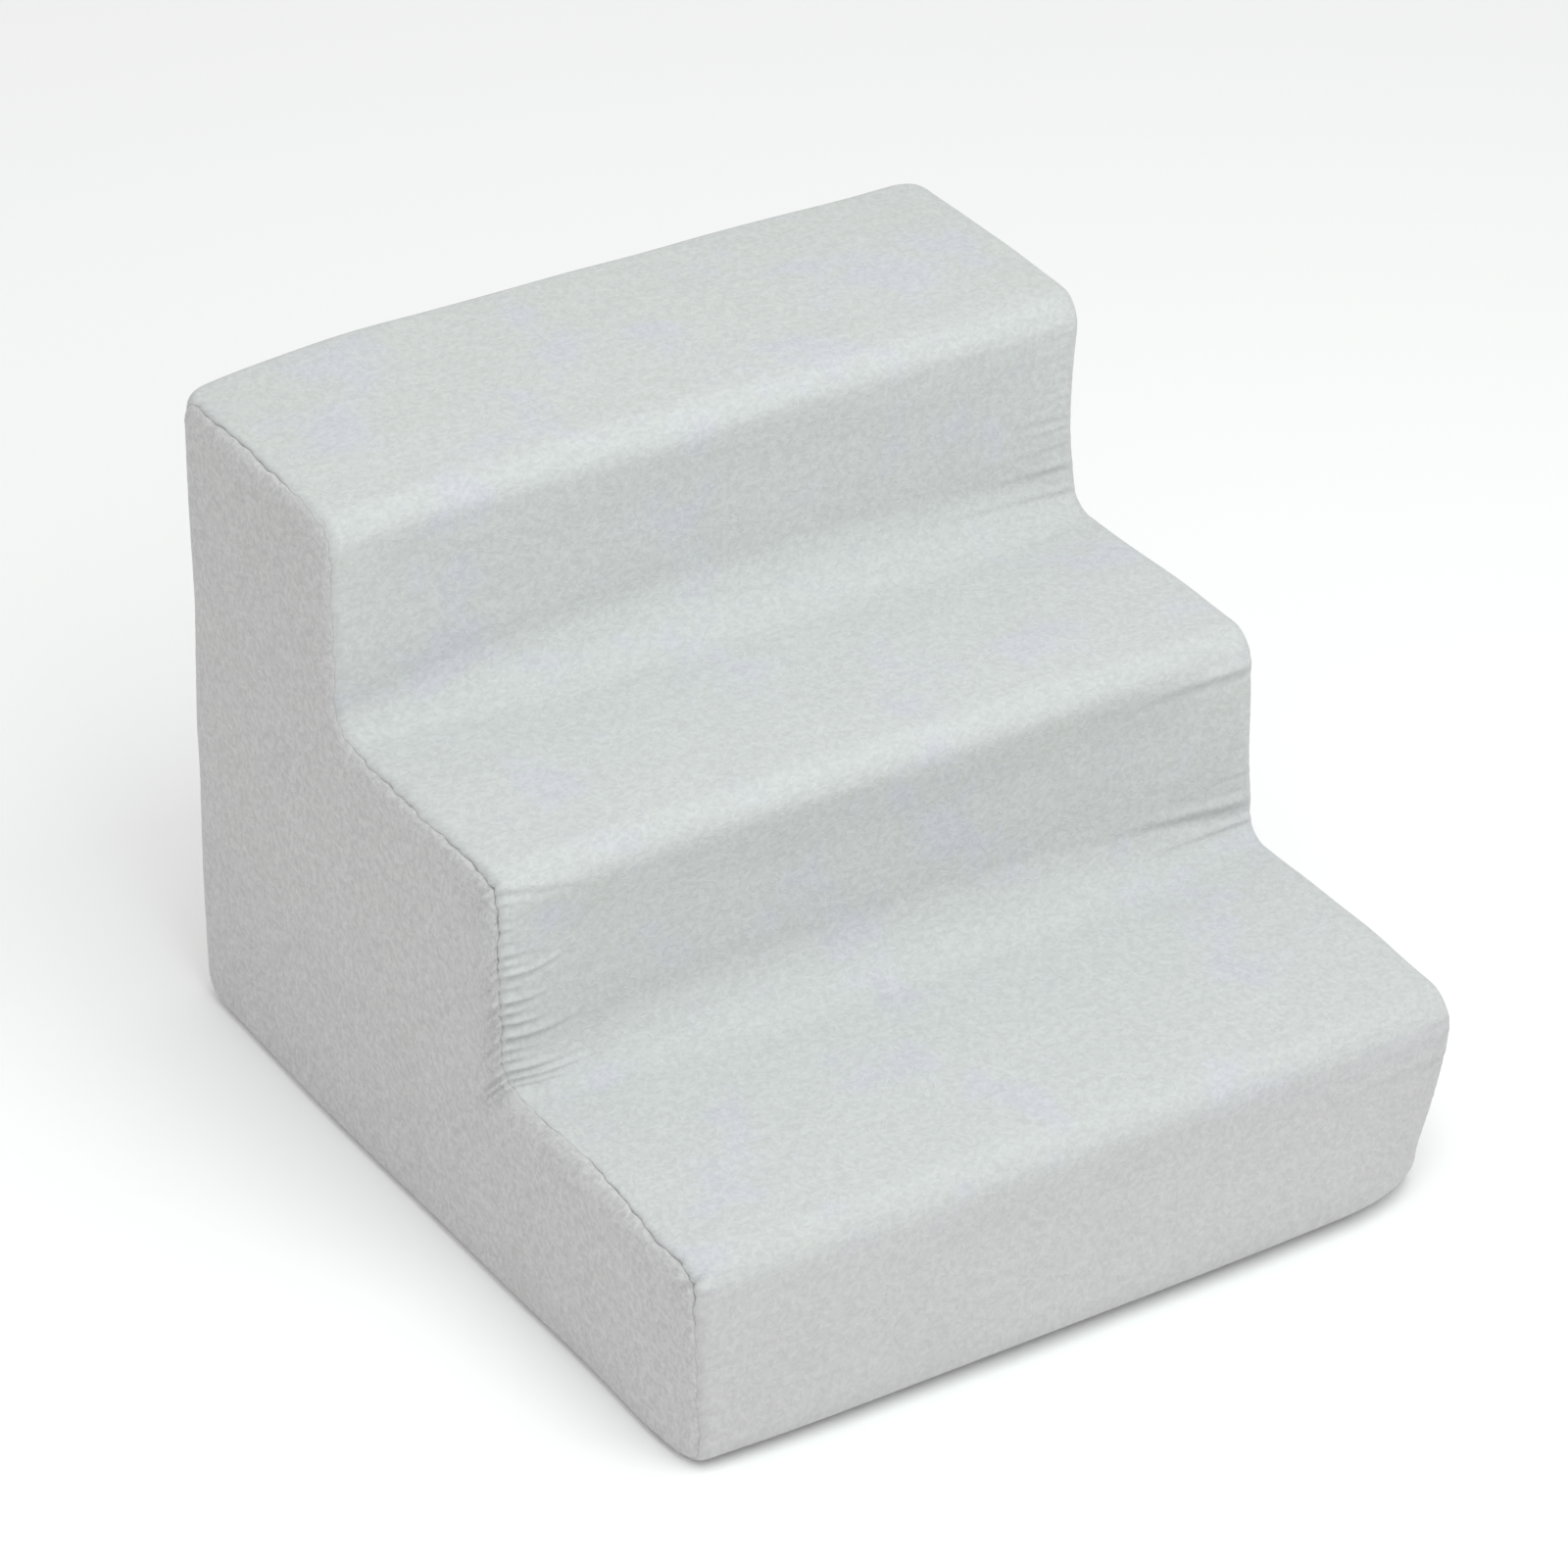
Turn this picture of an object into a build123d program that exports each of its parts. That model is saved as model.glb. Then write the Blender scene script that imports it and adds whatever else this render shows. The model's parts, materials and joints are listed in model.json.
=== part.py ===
from build123d import *
from math import radians, sin, sqrt
import os

# Pet stairs: three glued foam steps in a sewn cover that zips shut across the back.
# The lowest step faces -Y, left is -X, and the origin is on the floor under the middle.
# Sizes are in millimetres.

# Steps
width = 374.0
bottom_tread = 151.0
middle_tread = 132.0
top_tread = 138.0
riser = 100.0
crown = 4.2  # bulge of each tread and riser in its middle
crown_power = 2.5  # how late that bulge falls away towards the sides

# Rounded edges of the filled cover
nosing_radius = 14.0
inner_corner_radius = 20.0  # the stretched cover bridges these corners
top_back_radius = 8.0
bottom_back_radius = 10.0
foot_radius = 19.0
foot_left_radius = 13.5
foot_power = 2  # how late the foot tightens towards the left end
tread_side_radius = 7.5
bottom_side_radius = 6.0
back_side_radius = 15.5
toe_setback = 19.0  # of the lowest riser's foot at the right end, where the cover draws it in
toe_start = 129.0  # where that begins, from the middle
toe_power = 2.6  # how late it grows towards the end

# Cover and foam
fabric_thickness = 1.2
foam_clearance = 0.3
grip_height = 0.6  # the anti-slip base stands this far below the hems around it
left_seam_setback = 3.0
right_seam_setback = 1.5  # smaller, because the cover sits a little to the right
base_setback = 9.0  # of the base panel's ends, under the rounded bottom edges
top_seam_drop = 14.0  # of the seam on the back, below the top tread
hem_width = 6.0  # flat border under the stairs before the base panel begins

# Zip chain
zip_height = 42.0  # of its centre line above the floor
teeth_per_side = 100
tooth_pitch = 3.0
tooth_thickness = 2.6
tooth_head_width = 1.35
tooth_root_width = 0.95
tooth_tip_width = 0.9
tooth_overlap = 0.9  # reach of a tooth past the centre line
chain_half_width = 3.0
tape_thickness = 0.6
tape_edge = 1.9  # of the tape's gripped edge from the centre line
tape_half_width = 14.0
tape_end_length = 16.0  # of the bare tape past the last tooth
window_half_height = 6.5
window_end_length = 10.0  # of the open window past the last tooth
stop_gap = 0.4
stop_length = 2.5
stop_inner_edge = 1.6
bottom_stop_length = 3.2
bottom_stop_proud = 0.2

# Zip slider
slider_length = 13.0
slider_front_width = 11.0
slider_rear_width = 8.6
slider_shoulder = 1.0  # where its flanks reach full width, ahead of its middle
slider_corner_radius = 1.6
plate_thickness = 0.9
chain_clearance = 0.25
tape_clearance = 0.3
mouth_half_width = 4.5
wedge_start = 0.0  # the wedge's sharp end, ahead of the slider's middle
wedge_length = 5.6
wedge_width = 2.4
wedge_nose = 1.4  # length of its blunt end at the mouth
wedge_nose_width = 1.2
bridge_length = 9.0
bridge_width = 2.0
bridge_height = 3.2
bridge_thickness = 1.0
bridge_radius = 1.2

# Zip pull
pull_pin_radius = 0.8
pull_thickness = 1.4
pull_length = 27.0
pull_width = 6.4
pull_eye_length = 5.6
pull_eye_clearance = 0.3
pull_neck_width = 5.4
pull_neck_length = 9.0
pull_hole_width = 3.0
pull_hole_length = 7.0
pull_hole_setback = 3.4
pull_tip_radius = 2.2
pull_edge_chamfer = 0.3

overrun = 5.0  # extra reach of cutting shapes
end_turn_steps = 4  # outlines round each rounded end
crown_steps = 4  # outlines across the crown
toe_steps = 2  # more of them where the toe is drawn in
quarter_turn = 90.0

# Places worked out from the sizes
depth = bottom_tread + middle_tread + top_tread
zip_plane_depth = fabric_thickness + tape_thickness / 2
slider_half_height = tooth_thickness / 2 + chain_clearance + plate_thickness
slider_proud = slider_half_height + bridge_height - zip_plane_depth
back_y = (depth + crown - slider_proud) / 2
riser_faces = [
    back_y - depth,
    back_y - depth + bottom_tread,
    back_y - depth + bottom_tread + middle_tread,
]
tread_levels = [riser, 2 * riser, 3 * riser]
left_seam = width / 2 - left_seam_setback
right_seam = width / 2 - right_seam_setback
base_half_width = width / 2 - base_setback
chain_half_length = teeth_per_side * tooth_pitch / 2
tape_half_length = chain_half_length + tape_end_length
slider_rest = chain_half_length + chain_clearance - wedge_start
slider_open = slider_length / 2 + chain_clearance - chain_half_length
pull_axis_height = slider_half_height + (bridge_height - bridge_thickness) / 2

# Seen from behind: x to the right, y up and z out of the back, on the tapes' middle plane
zip_plane = Plane(
    origin=(0, back_y - zip_plane_depth, zip_height), x_dir=(-1, 0, 0), z_dir=(0, 1, 0)
)

os.makedirs("parts", exist_ok=True)


def finish(piece, name):
    """Label a finished piece and write it to its own file."""
    piece.label = name
    export_step(piece, f"parts/{name}.step")


# The filled form. Each body is lofted from upright outlines, closer together at the rounded ends.


def stations(inset):
    """Places along X of a body's outlines, for a body drawn in by inset."""
    half = width / 2 - inset
    radius = back_side_radius - inset
    turn = [
        half - radius * (1 - sin(radians(quarter_turn * step / end_turn_steps)))
        for step in range(end_turn_steps + 1)
    ]
    middle = [turn[0] * (2 * step / crown_steps - 1) for step in range(1, crown_steps)]
    drawn_in = [toe_start + (turn[0] - toe_start) * step / toe_steps for step in range(toe_steps)]
    return [-x for x in reversed(turn)] + middle + drawn_in + turn


def side_drop(x, inset, radius):
    """How far a side edge of that radius has curved away at x."""
    past = max(0, abs(x) - (width / 2 - radius))
    own = radius - inset
    return own - sqrt(max(0, own**2 - past**2))


def bulge(x, inset):
    """How far a tread or riser stands proud of its nominal plane at x."""
    swell = crown * (1 - abs(2 * x / width) ** crown_power)
    return swell - inset - side_drop(x, inset, tread_side_radius)


def underside(x, inset):
    """Height of the bottom at x."""
    return grip_height + inset + side_drop(x, inset, bottom_side_radius)


def back_face(x, inset):
    """Y of the back at x."""
    return back_y - inset - side_drop(x, inset, back_side_radius)


def toe(x):
    """How far back the foot of the lowest riser is drawn in at x."""
    along = max(0, (x - toe_start) / (width / 2 - toe_start))
    return toe_setback * along**toe_power


def foot_corner_radius(x):
    """Radius of the foot at x."""
    spare = foot_radius - foot_left_radius
    return foot_radius - spare * max(0, -2 * x / width) ** foot_power


def outline(x, points, radii):
    """A closed upright outline at x, with its corners rounded."""
    with BuildSketch(Plane.YZ.offset(x)) as section:
        with BuildLine():
            FilletPolyline(*points, radius=radii, close=True)
        make_face()
    return section.sketch


def filled_form(inset):
    """The whole stepped cushion, drawn in by inset all round."""
    convex = nosing_radius - inset
    concave = inner_corner_radius + inset
    sections = []
    for x in stations(inset):
        rise = bulge(x, inset)
        back = back_face(x, inset)
        points = [(back, underside(x, inset)), (back, tread_levels[-1] + rise)]
        for step in (2, 1):
            face = riser_faces[step] - rise
            points += [(face, tread_levels[step] + rise), (face, tread_levels[step - 1] + rise)]
        face = riser_faces[0] - rise
        points += [(face, tread_levels[0] + rise), (face + toe(x), underside(x, inset))]
        radii = [bottom_back_radius - inset, top_back_radius - inset, convex, concave, convex, concave]
        radii += [convex, foot_corner_radius(x) - inset]
        sections.append(outline(x, points, radii))
    with BuildPart() as form:
        loft(sections, ruled=True)
    return form.part


def foam_slab(step, corner_radii):
    """One glued slab of foam, from its back to the riser of that step."""
    inset = fabric_thickness + foam_clearance
    sections = []
    for x in stations(inset):
        rise = bulge(x, inset)
        back = back_face(x, inset)
        face = riser_faces[step] - rise
        top = tread_levels[step] + rise
        bottom = tread_levels[step - 1] + rise if step else underside(x, inset)
        foot = face if step else face + toe(x)
        points = [(back, bottom), (back, top), (face, top), (foot, bottom)]
        sections.append(outline(x, points, [max(0, radius - inset) for radius in corner_radii]))
    with BuildPart() as slab:
        loft(sections, ruled=True)
    return slab.part


def block(low, high):
    """A box from its lowest corner to its highest."""
    with BuildPart() as box:
        with Locations(low):
            Box(*[top - start for start, top in zip(low, high)], align=(Align.MIN,) * 3)
    return box.part


# Foam core: three slabs, with a shallow relief behind the zip

with BuildPart() as foam_base:
    add(foam_slab(0, [bottom_back_radius, 0, nosing_radius, foot_radius]))
    with BuildSketch(zip_plane.offset(-tape_thickness / 2 - tape_clearance)):
        Rectangle(2 * (tape_half_length + foam_clearance), 2 * (tape_half_width + foam_clearance))
    extrude(amount=overrun, mode=Mode.SUBTRACT)
    with BuildSketch(zip_plane.offset(-slider_half_height - chain_clearance)):
        Rectangle(2 * (slider_rest + slider_length / 2 + foam_clearance), 2 * window_half_height)
    extrude(amount=overrun, mode=Mode.SUBTRACT)
finish(foam_base.part, "foam_base")

with BuildPart() as foam_middle:
    add(foam_slab(1, [0, 0, nosing_radius, 0]))
finish(foam_middle.part, "foam_middle")

with BuildPart() as foam_top:
    add(foam_slab(2, [0, top_back_radius, nosing_radius, 0]))
finish(foam_top.part, "foam_top")

# Cover: one skin over the filled form, cut into its sewn panels

with BuildPart() as skin:
    add(filled_form(0))
    add(filled_form(fabric_thickness), mode=Mode.SUBTRACT)

with BuildPart() as band:
    add(skin.part)
    split(bisect_by=Plane.YZ.offset(-left_seam), keep=Keep.TOP)
    split(bisect_by=Plane.YZ.offset(right_seam), keep=Keep.BOTTOM)

base_front = riser_faces[0] + toe(base_half_width) + foot_radius + hem_width
base_back = back_y - bottom_back_radius - hem_width
back_seam = tread_levels[-1] - top_seam_drop
base_top = grip_height + fabric_thickness
base_zone = block((-base_half_width, base_front, 0), (base_half_width, base_back, base_top))
back_zone = block((-width / 2, base_back, 0), (width / 2, back_y + overrun, back_seam))
left_flap_zone = block((-width / 2, base_front, 0), (-base_half_width, base_back, bottom_back_radius))
right_flap_zone = block((base_half_width, base_front, 0), (width / 2, base_back, bottom_back_radius))

with BuildPart() as left_flap:
    add(band.part)
    add(left_flap_zone, mode=Mode.INTERSECT)

with BuildPart() as cover_left_side:
    add(skin.part)
    split(bisect_by=Plane.YZ.offset(-left_seam), keep=Keep.BOTTOM)
    add(left_flap.part)
finish(cover_left_side.part, "cover_left_side")

with BuildPart() as right_flap:
    add(band.part)
    add(right_flap_zone, mode=Mode.INTERSECT)

with BuildPart() as cover_right_side:
    add(skin.part)
    split(bisect_by=Plane.YZ.offset(right_seam), keep=Keep.TOP)
    add(right_flap.part)
finish(cover_right_side.part, "cover_right_side")

with BuildPart() as cover_steps:
    add(band.part)
    add([base_zone, back_zone, left_flap_zone, right_flap_zone], mode=Mode.SUBTRACT)
finish(cover_steps.part, "cover_steps")

with BuildPart() as cover_base:
    add(base_zone)
finish(cover_base.part, "cover_base")

with BuildPart() as back_band:
    add(band.part)
    add(back_zone, mode=Mode.INTERSECT)
    with BuildSketch(zip_plane):
        Rectangle(2 * (chain_half_length + window_end_length), 2 * window_half_height)
    extrude(amount=overrun, mode=Mode.SUBTRACT)

with BuildPart() as cover_back:
    add(back_band.part)
    split(bisect_by=Plane.XY.offset(zip_height), keep=Keep.TOP)
finish(cover_back.part, "cover_back")

with BuildPart() as cover_back_hem:
    add(back_band.part)
    split(bisect_by=Plane.XY.offset(zip_height), keep=Keep.BOTTOM)
finish(cover_back_hem.part, "cover_back_hem")

# Zip: two tapes, each gripped by a row of moulded teeth, and the stops at both ends


def zip_tape(side):
    """The tape above the centre line (side 1) or below it (side -1)."""
    tape_width = tape_half_width - tape_edge
    with BuildPart() as tape:
        with BuildSketch(zip_plane):
            with Locations((0, side * (tape_edge + tape_width / 2))):
                Rectangle(2 * tape_half_length, tape_width)
        extrude(amount=tape_thickness / 2, both=True)
    return tape.part


def tooth_row(side, tape):
    """The teeth of one side, each slotted onto its tape's edge and meeting the other row's gaps."""
    with BuildPart() as row:
        with BuildSketch(zip_plane):
            with Locations((side * tooth_pitch / 4, 0)):
                with GridLocations(tooth_pitch, 0, teeth_per_side, 1):
                    Polygon(
                        (-tooth_root_width / 2, side * chain_half_width),
                        (-tooth_head_width / 2, 0),
                        (-tooth_tip_width / 2, -side * tooth_overlap),
                        (tooth_tip_width / 2, -side * tooth_overlap),
                        (tooth_head_width / 2, 0),
                        (tooth_root_width / 2, side * chain_half_width),
                        align=None,
                    )
        extrude(amount=tooth_thickness / 2, both=True)
        add(tape, mode=Mode.SUBTRACT)
    return row.part


upper_tape = zip_tape(1)
lower_tape = zip_tape(-1)
finish(upper_tape, "zip_upper_tape")
finish(lower_tape, "zip_lower_tape")
finish(tooth_row(1, upper_tape), "zip_upper_teeth")
finish(tooth_row(-1, lower_tape), "zip_lower_teeth")

with BuildPart() as zip_top_stops:
    with BuildSketch(zip_plane):
        with Locations((chain_half_length + stop_gap + stop_length / 2, 0)):
            Rectangle(stop_length, 2 * chain_half_width)
            Rectangle(stop_length, 2 * stop_inner_edge, mode=Mode.SUBTRACT)
    extrude(amount=tooth_thickness / 2, both=True)
    add([upper_tape, lower_tape], mode=Mode.SUBTRACT)
finish(zip_top_stops.part, "zip_top_stops")

with BuildPart() as zip_bottom_stop:
    with BuildSketch(zip_plane):
        with Locations((-chain_half_length - stop_gap - bottom_stop_length / 2, 0)):
            Rectangle(bottom_stop_length, 2 * (chain_half_width + bottom_stop_proud))
    extrude(amount=tooth_thickness / 2 + bottom_stop_proud, both=True)
    add([upper_tape, lower_tape], mode=Mode.SUBTRACT)
finish(zip_bottom_stop.part, "zip_bottom_stop")

# Slider: two plates joined by the wedge that parts the teeth, with slots for the tapes between its lips

slider_plane = Plane(zip_plane.from_local_coords((slider_rest, 0, 0)), x_dir=(-1, 0, 0), z_dir=(0, 1, 0))
bridge_plane = Plane(slider_plane.origin, x_dir=(-1, 0, 0), z_dir=(0, 0, -1))
front = slider_length / 2
channel_half_width = chain_half_width + chain_clearance
wedge_end = wedge_start + wedge_length
bridge_foot = slider_half_height - plate_thickness / 2
bridge_top = slider_half_height + bridge_height
bridge_opening = bridge_height - bridge_thickness


def wedge():
    """The wedge's outline, left standing in the cut that is being sketched."""
    Polygon(
        (wedge_start, 0),
        (wedge_end - wedge_nose, wedge_width / 2),
        (wedge_end, wedge_nose_width / 2),
        (wedge_end, -wedge_nose_width / 2),
        (wedge_end - wedge_nose, -wedge_width / 2),
        align=None,
        mode=Mode.SUBTRACT,
    )


with BuildPart() as zip_slider:
    with BuildSketch(slider_plane) as plate:
        with BuildLine():
            Polyline(
                (-front, -slider_rear_width / 2),
                (slider_shoulder, -slider_front_width / 2),
                (front, -slider_front_width / 2),
                (front, slider_front_width / 2),
                (slider_shoulder, slider_front_width / 2),
                (-front, slider_rear_width / 2),
                close=True,
            )
        make_face()
        fillet(plate.vertices(), slider_corner_radius)
    extrude(amount=slider_half_height, both=True)
    with BuildSketch(slider_plane):
        with BuildLine():
            Polyline(
                (-front - overrun, -channel_half_width),
                (wedge_start, -channel_half_width),
                (front, -mouth_half_width),
                (front + overrun, -mouth_half_width),
                (front + overrun, mouth_half_width),
                (front, mouth_half_width),
                (wedge_start, channel_half_width),
                (-front - overrun, channel_half_width),
                close=True,
            )
        make_face()
        wedge()
    extrude(amount=tooth_thickness / 2 + chain_clearance, both=True, mode=Mode.SUBTRACT)
    with BuildSketch(slider_plane):
        Rectangle(slider_length + overrun, slider_front_width + overrun)
        wedge()
    extrude(amount=tape_thickness / 2 + tape_clearance, both=True, mode=Mode.SUBTRACT)
    with BuildSketch(bridge_plane):
        with BuildLine():
            FilletPolyline(
                (-bridge_length / 2, bridge_foot),
                (-bridge_length / 2, bridge_top),
                (bridge_length / 2, bridge_top),
                (bridge_length / 2, bridge_foot),
                radius=[0, bridge_radius, bridge_radius, 0],
                close=True,
            )
        make_face()
        with Locations((0, slider_half_height + bridge_opening / 2)):
            Rectangle(bridge_length - 2 * bridge_thickness, bridge_opening, mode=Mode.SUBTRACT)
    extrude(amount=bridge_width / 2, both=True)
finish(zip_slider.part, "zip_slider")

# Pull: its pin turns under the slider's bridge, and its eye clears the bridge on the way round

pull_plane = slider_plane.offset(pull_axis_height)

with BuildPart() as zip_pull:
    with BuildSketch(pull_plane) as pull_outline:
        with BuildLine():
            Polyline(
                (0, -pull_neck_width / 2),
                (0, pull_neck_width / 2),
                (-pull_neck_length, pull_neck_width / 2),
                (-pull_neck_length - pull_width / 2, pull_width / 2),
                (-pull_length, pull_width / 2),
                (-pull_length, -pull_width / 2),
                (-pull_neck_length - pull_width / 2, -pull_width / 2),
                (-pull_neck_length, -pull_neck_width / 2),
                close=True,
            )
        make_face()
        fillet(pull_outline.vertices().group_by(Axis.X)[-1], pull_tip_radius)
        with Locations((-pull_eye_length / 2, 0)):
            Rectangle(pull_eye_length, bridge_width + 2 * pull_eye_clearance, mode=Mode.SUBTRACT)
        with Locations((pull_hole_setback + pull_hole_length / 2 - pull_length, 0)):
            SlotOverall(pull_hole_length, pull_hole_width, mode=Mode.SUBTRACT)
    extrude(amount=pull_thickness / 2, both=True)
    broad_faces = zip_pull.faces().filter_by(Axis.Y)
    for broad_face in (broad_faces.sort_by(Axis.Y)[0], broad_faces.sort_by(Axis.Y)[-1]):
        chamfer(broad_face.outer_wire().edges(), pull_edge_chamfer)
    with BuildSketch(Plane(pull_plane.origin, x_dir=(1, 0, 0), z_dir=(0, 0, 1))):
        Circle(pull_pin_radius)
    extrude(amount=pull_neck_width / 2, both=True)
finish(zip_pull.part, "zip_pull")

# Joint places, for the record
print(f"The slider opens by {slider_rest - slider_open:.3f} mm towards +X.")
print(f"The pull turns about +Z through {tuple(pull_plane.origin)}.")
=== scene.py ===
import json
from math import cos, pi, radians, sin
import bmesh
import bpy
import numpy as np
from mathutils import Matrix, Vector

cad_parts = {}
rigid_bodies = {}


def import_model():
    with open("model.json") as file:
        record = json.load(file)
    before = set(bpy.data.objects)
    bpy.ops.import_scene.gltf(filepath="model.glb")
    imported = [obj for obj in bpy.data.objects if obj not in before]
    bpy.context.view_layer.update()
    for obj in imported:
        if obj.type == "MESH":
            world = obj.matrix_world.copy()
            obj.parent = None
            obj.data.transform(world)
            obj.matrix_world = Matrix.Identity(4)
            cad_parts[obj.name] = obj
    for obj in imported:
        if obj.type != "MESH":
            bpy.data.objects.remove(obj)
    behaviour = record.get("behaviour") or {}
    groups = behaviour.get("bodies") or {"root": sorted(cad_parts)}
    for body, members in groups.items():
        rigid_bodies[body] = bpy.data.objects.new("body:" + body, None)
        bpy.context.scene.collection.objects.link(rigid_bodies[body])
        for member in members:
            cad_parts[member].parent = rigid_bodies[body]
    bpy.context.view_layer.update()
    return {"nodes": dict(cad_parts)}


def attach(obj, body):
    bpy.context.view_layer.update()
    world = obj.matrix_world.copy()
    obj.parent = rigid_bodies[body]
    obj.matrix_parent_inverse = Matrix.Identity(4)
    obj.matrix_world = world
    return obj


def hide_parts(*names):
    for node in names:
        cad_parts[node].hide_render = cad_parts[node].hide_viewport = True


# Pet stairs: three foam steps in a brushed linen-look cover, zipped shut across the back.
# Shapes are worked out in millimetres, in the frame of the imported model, and written in metres.

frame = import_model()
nodes = frame["nodes"]
MM = 0.001

# The filled form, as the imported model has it
WIDTH = 374.0
HALF = WIDTH / 2
TREADS = (151.0, 132.0, 138.0)
RISER = 100.0
CROWN = 4.2  # bulge of each tread and riser in its middle
CROWN_POWER = 2.5
NOSING = 14.0
INNER_MIDDLE = 28.0  # inner corners, which the cover bridges
INNER_END = 11.0
INNER_POWER = 4
TOP_BACK = 8.0
BOTTOM_BACK = 10.0
FOOT = 19.0
FOOT_LEFT = 13.5
FOOT_POWER = 2
TREAD_EDGE = 7.5
LEFT_EDGE_DROP = 12.0  # the left edge is softer
BOTTOM_EDGE = 6.0
BACK_EDGE = 15.5
TOE_SETBACK = 19.0  # of the lowest riser's foot at the right end
TOE_START = 129.0
TOE_POWER = 2.6
GRIP = 0.6  # the base panel stands this far below the hems
BACK_Y = 210.525
FACES = (BACK_Y - sum(TREADS), BACK_Y - TREADS[1] - TREADS[2], BACK_Y - TREADS[2])
LEVELS = (RISER, 2 * RISER, 3 * RISER)
BACK_SEAM = 286.0
BASE_FRONT = -173.22
HEM = 6.0  # flat border before the base panel
BASE_BACK = BACK_Y - BOTTOM_BACK - HEM
BASE_HALF = 178.0
ZIP_HEIGHT = 42.0
ZIP_Y = BACK_Y - 1.5  # middle of the tapes
WINDOW_HALF = 6.5
WINDOW_END = 160.0
LEFT_SEAM = 184.0
RIGHT_SEAM = 185.5
CLOTH = 0.9  # thickness of the cover
LOFT = 0.35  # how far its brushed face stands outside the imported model


def clear_selection():
    """Deselect everything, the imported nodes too."""
    for item in bpy.context.scene.objects:
        item.select_set(False)


def apply_all(piece):
    """Applies a piece's modifiers in order."""
    clear_selection()
    piece.select_set(True)
    bpy.context.view_layer.objects.active = piece
    for modifier in list(piece.modifiers):
        bpy.ops.object.modifier_apply(modifier=modifier.name)
    piece.select_set(False)


def all_smooth(piece):
    piece.data.polygons.foreach_set("use_smooth", [True] * len(piece.data.polygons))


def smooth(value):
    """A soft step from 0 to 1."""
    value = np.clip(value, 0, 1)
    return value * value * (3 - 2 * value)


def side_drop(x, radius):
    """How far a side edge of that radius has curved away at x."""
    past = np.maximum(0, np.abs(x) - (HALF - radius))
    return radius - np.sqrt(np.maximum(0, radius**2 - past**2))


def tread_drop(x):
    """How far the side edges of a tread or riser have curved away at x."""
    reach = np.where(x < 0, LEFT_EDGE_DROP, TREAD_EDGE)
    return reach * side_drop(x, TREAD_EDGE) / TREAD_EDGE


def toe(x):
    """How far back the foot of the lowest riser is drawn in at x."""
    return TOE_SETBACK * np.maximum(0, (x - TOE_START) / (HALF - TOE_START)) ** TOE_POWER


def form_corners(x, inset=0.0):
    """Corners of the upright outline at each x, from the foot up the steps and down the back."""
    rise = CROWN * (1 - np.abs(2 * x / WIDTH) ** CROWN_POWER) - tread_drop(x) - inset
    low = GRIP + side_drop(x, BOTTOM_EDGE) + inset
    back = BACK_Y - side_drop(x, BACK_EDGE) - inset
    places = [(FACES[0] - rise + toe(x), low)]
    for step in range(3):
        places.append((FACES[step] - rise, LEVELS[step] + rise))
        if step < 2:
            places.append((FACES[step + 1] - rise, LEVELS[step] + rise))
    places += [(back, LEVELS[2] + rise), (back, low)]
    return [np.stack([y + 0 * x, z + 0 * x], -1) for y, z in places]


def form_radii(x):
    """Radii of those corners, wider inside in mid-width and tighter at the foot's left end."""
    share = 2 * x / WIDTH
    inner = (INNER_MIDDLE - (INNER_MIDDLE - INNER_END) * np.abs(share) ** INNER_POWER)[:, None]
    foot = (FOOT - (FOOT - FOOT_LEFT) * np.maximum(0, -share) ** FOOT_POWER)[:, None]
    return foot, NOSING, inner, NOSING, inner, NOSING, TOP_BACK, BOTTOM_BACK


def unit(vector):
    return vector / np.linalg.norm(vector, axis=-1, keepdims=True)


def turn_left(vector):
    return np.stack([-vector[..., 1], vector[..., 0]], -1)


def rounded_corner(points, radii, k, f):
    """Points and outward directions on corner k of an outline, at the share f of its arc."""
    count = len(points)
    here, before, after = points[k % count], points[k % count - 1], points[(k + 1) % count]
    a, b = unit(here - before), unit(after - here)
    cosine = np.clip((a * b).sum(-1, keepdims=True), -1, 1)
    side = unit(b - cosine * a)
    angle = np.arccos(cosine)
    radius = radii[k % count]
    turned = angle * f
    place = here + a * radius * (np.sin(turned) - np.tan(angle / 2))
    place = place + side * radius * (1 - np.cos(turned))
    return place, turn_left(a * np.cos(turned) + side * np.sin(turned))


def between(start, end, f):
    return start + (end - start) * f


LEAST_RUN = 0.5  # shortest stretch kept between a seam and the corner beside it


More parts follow.
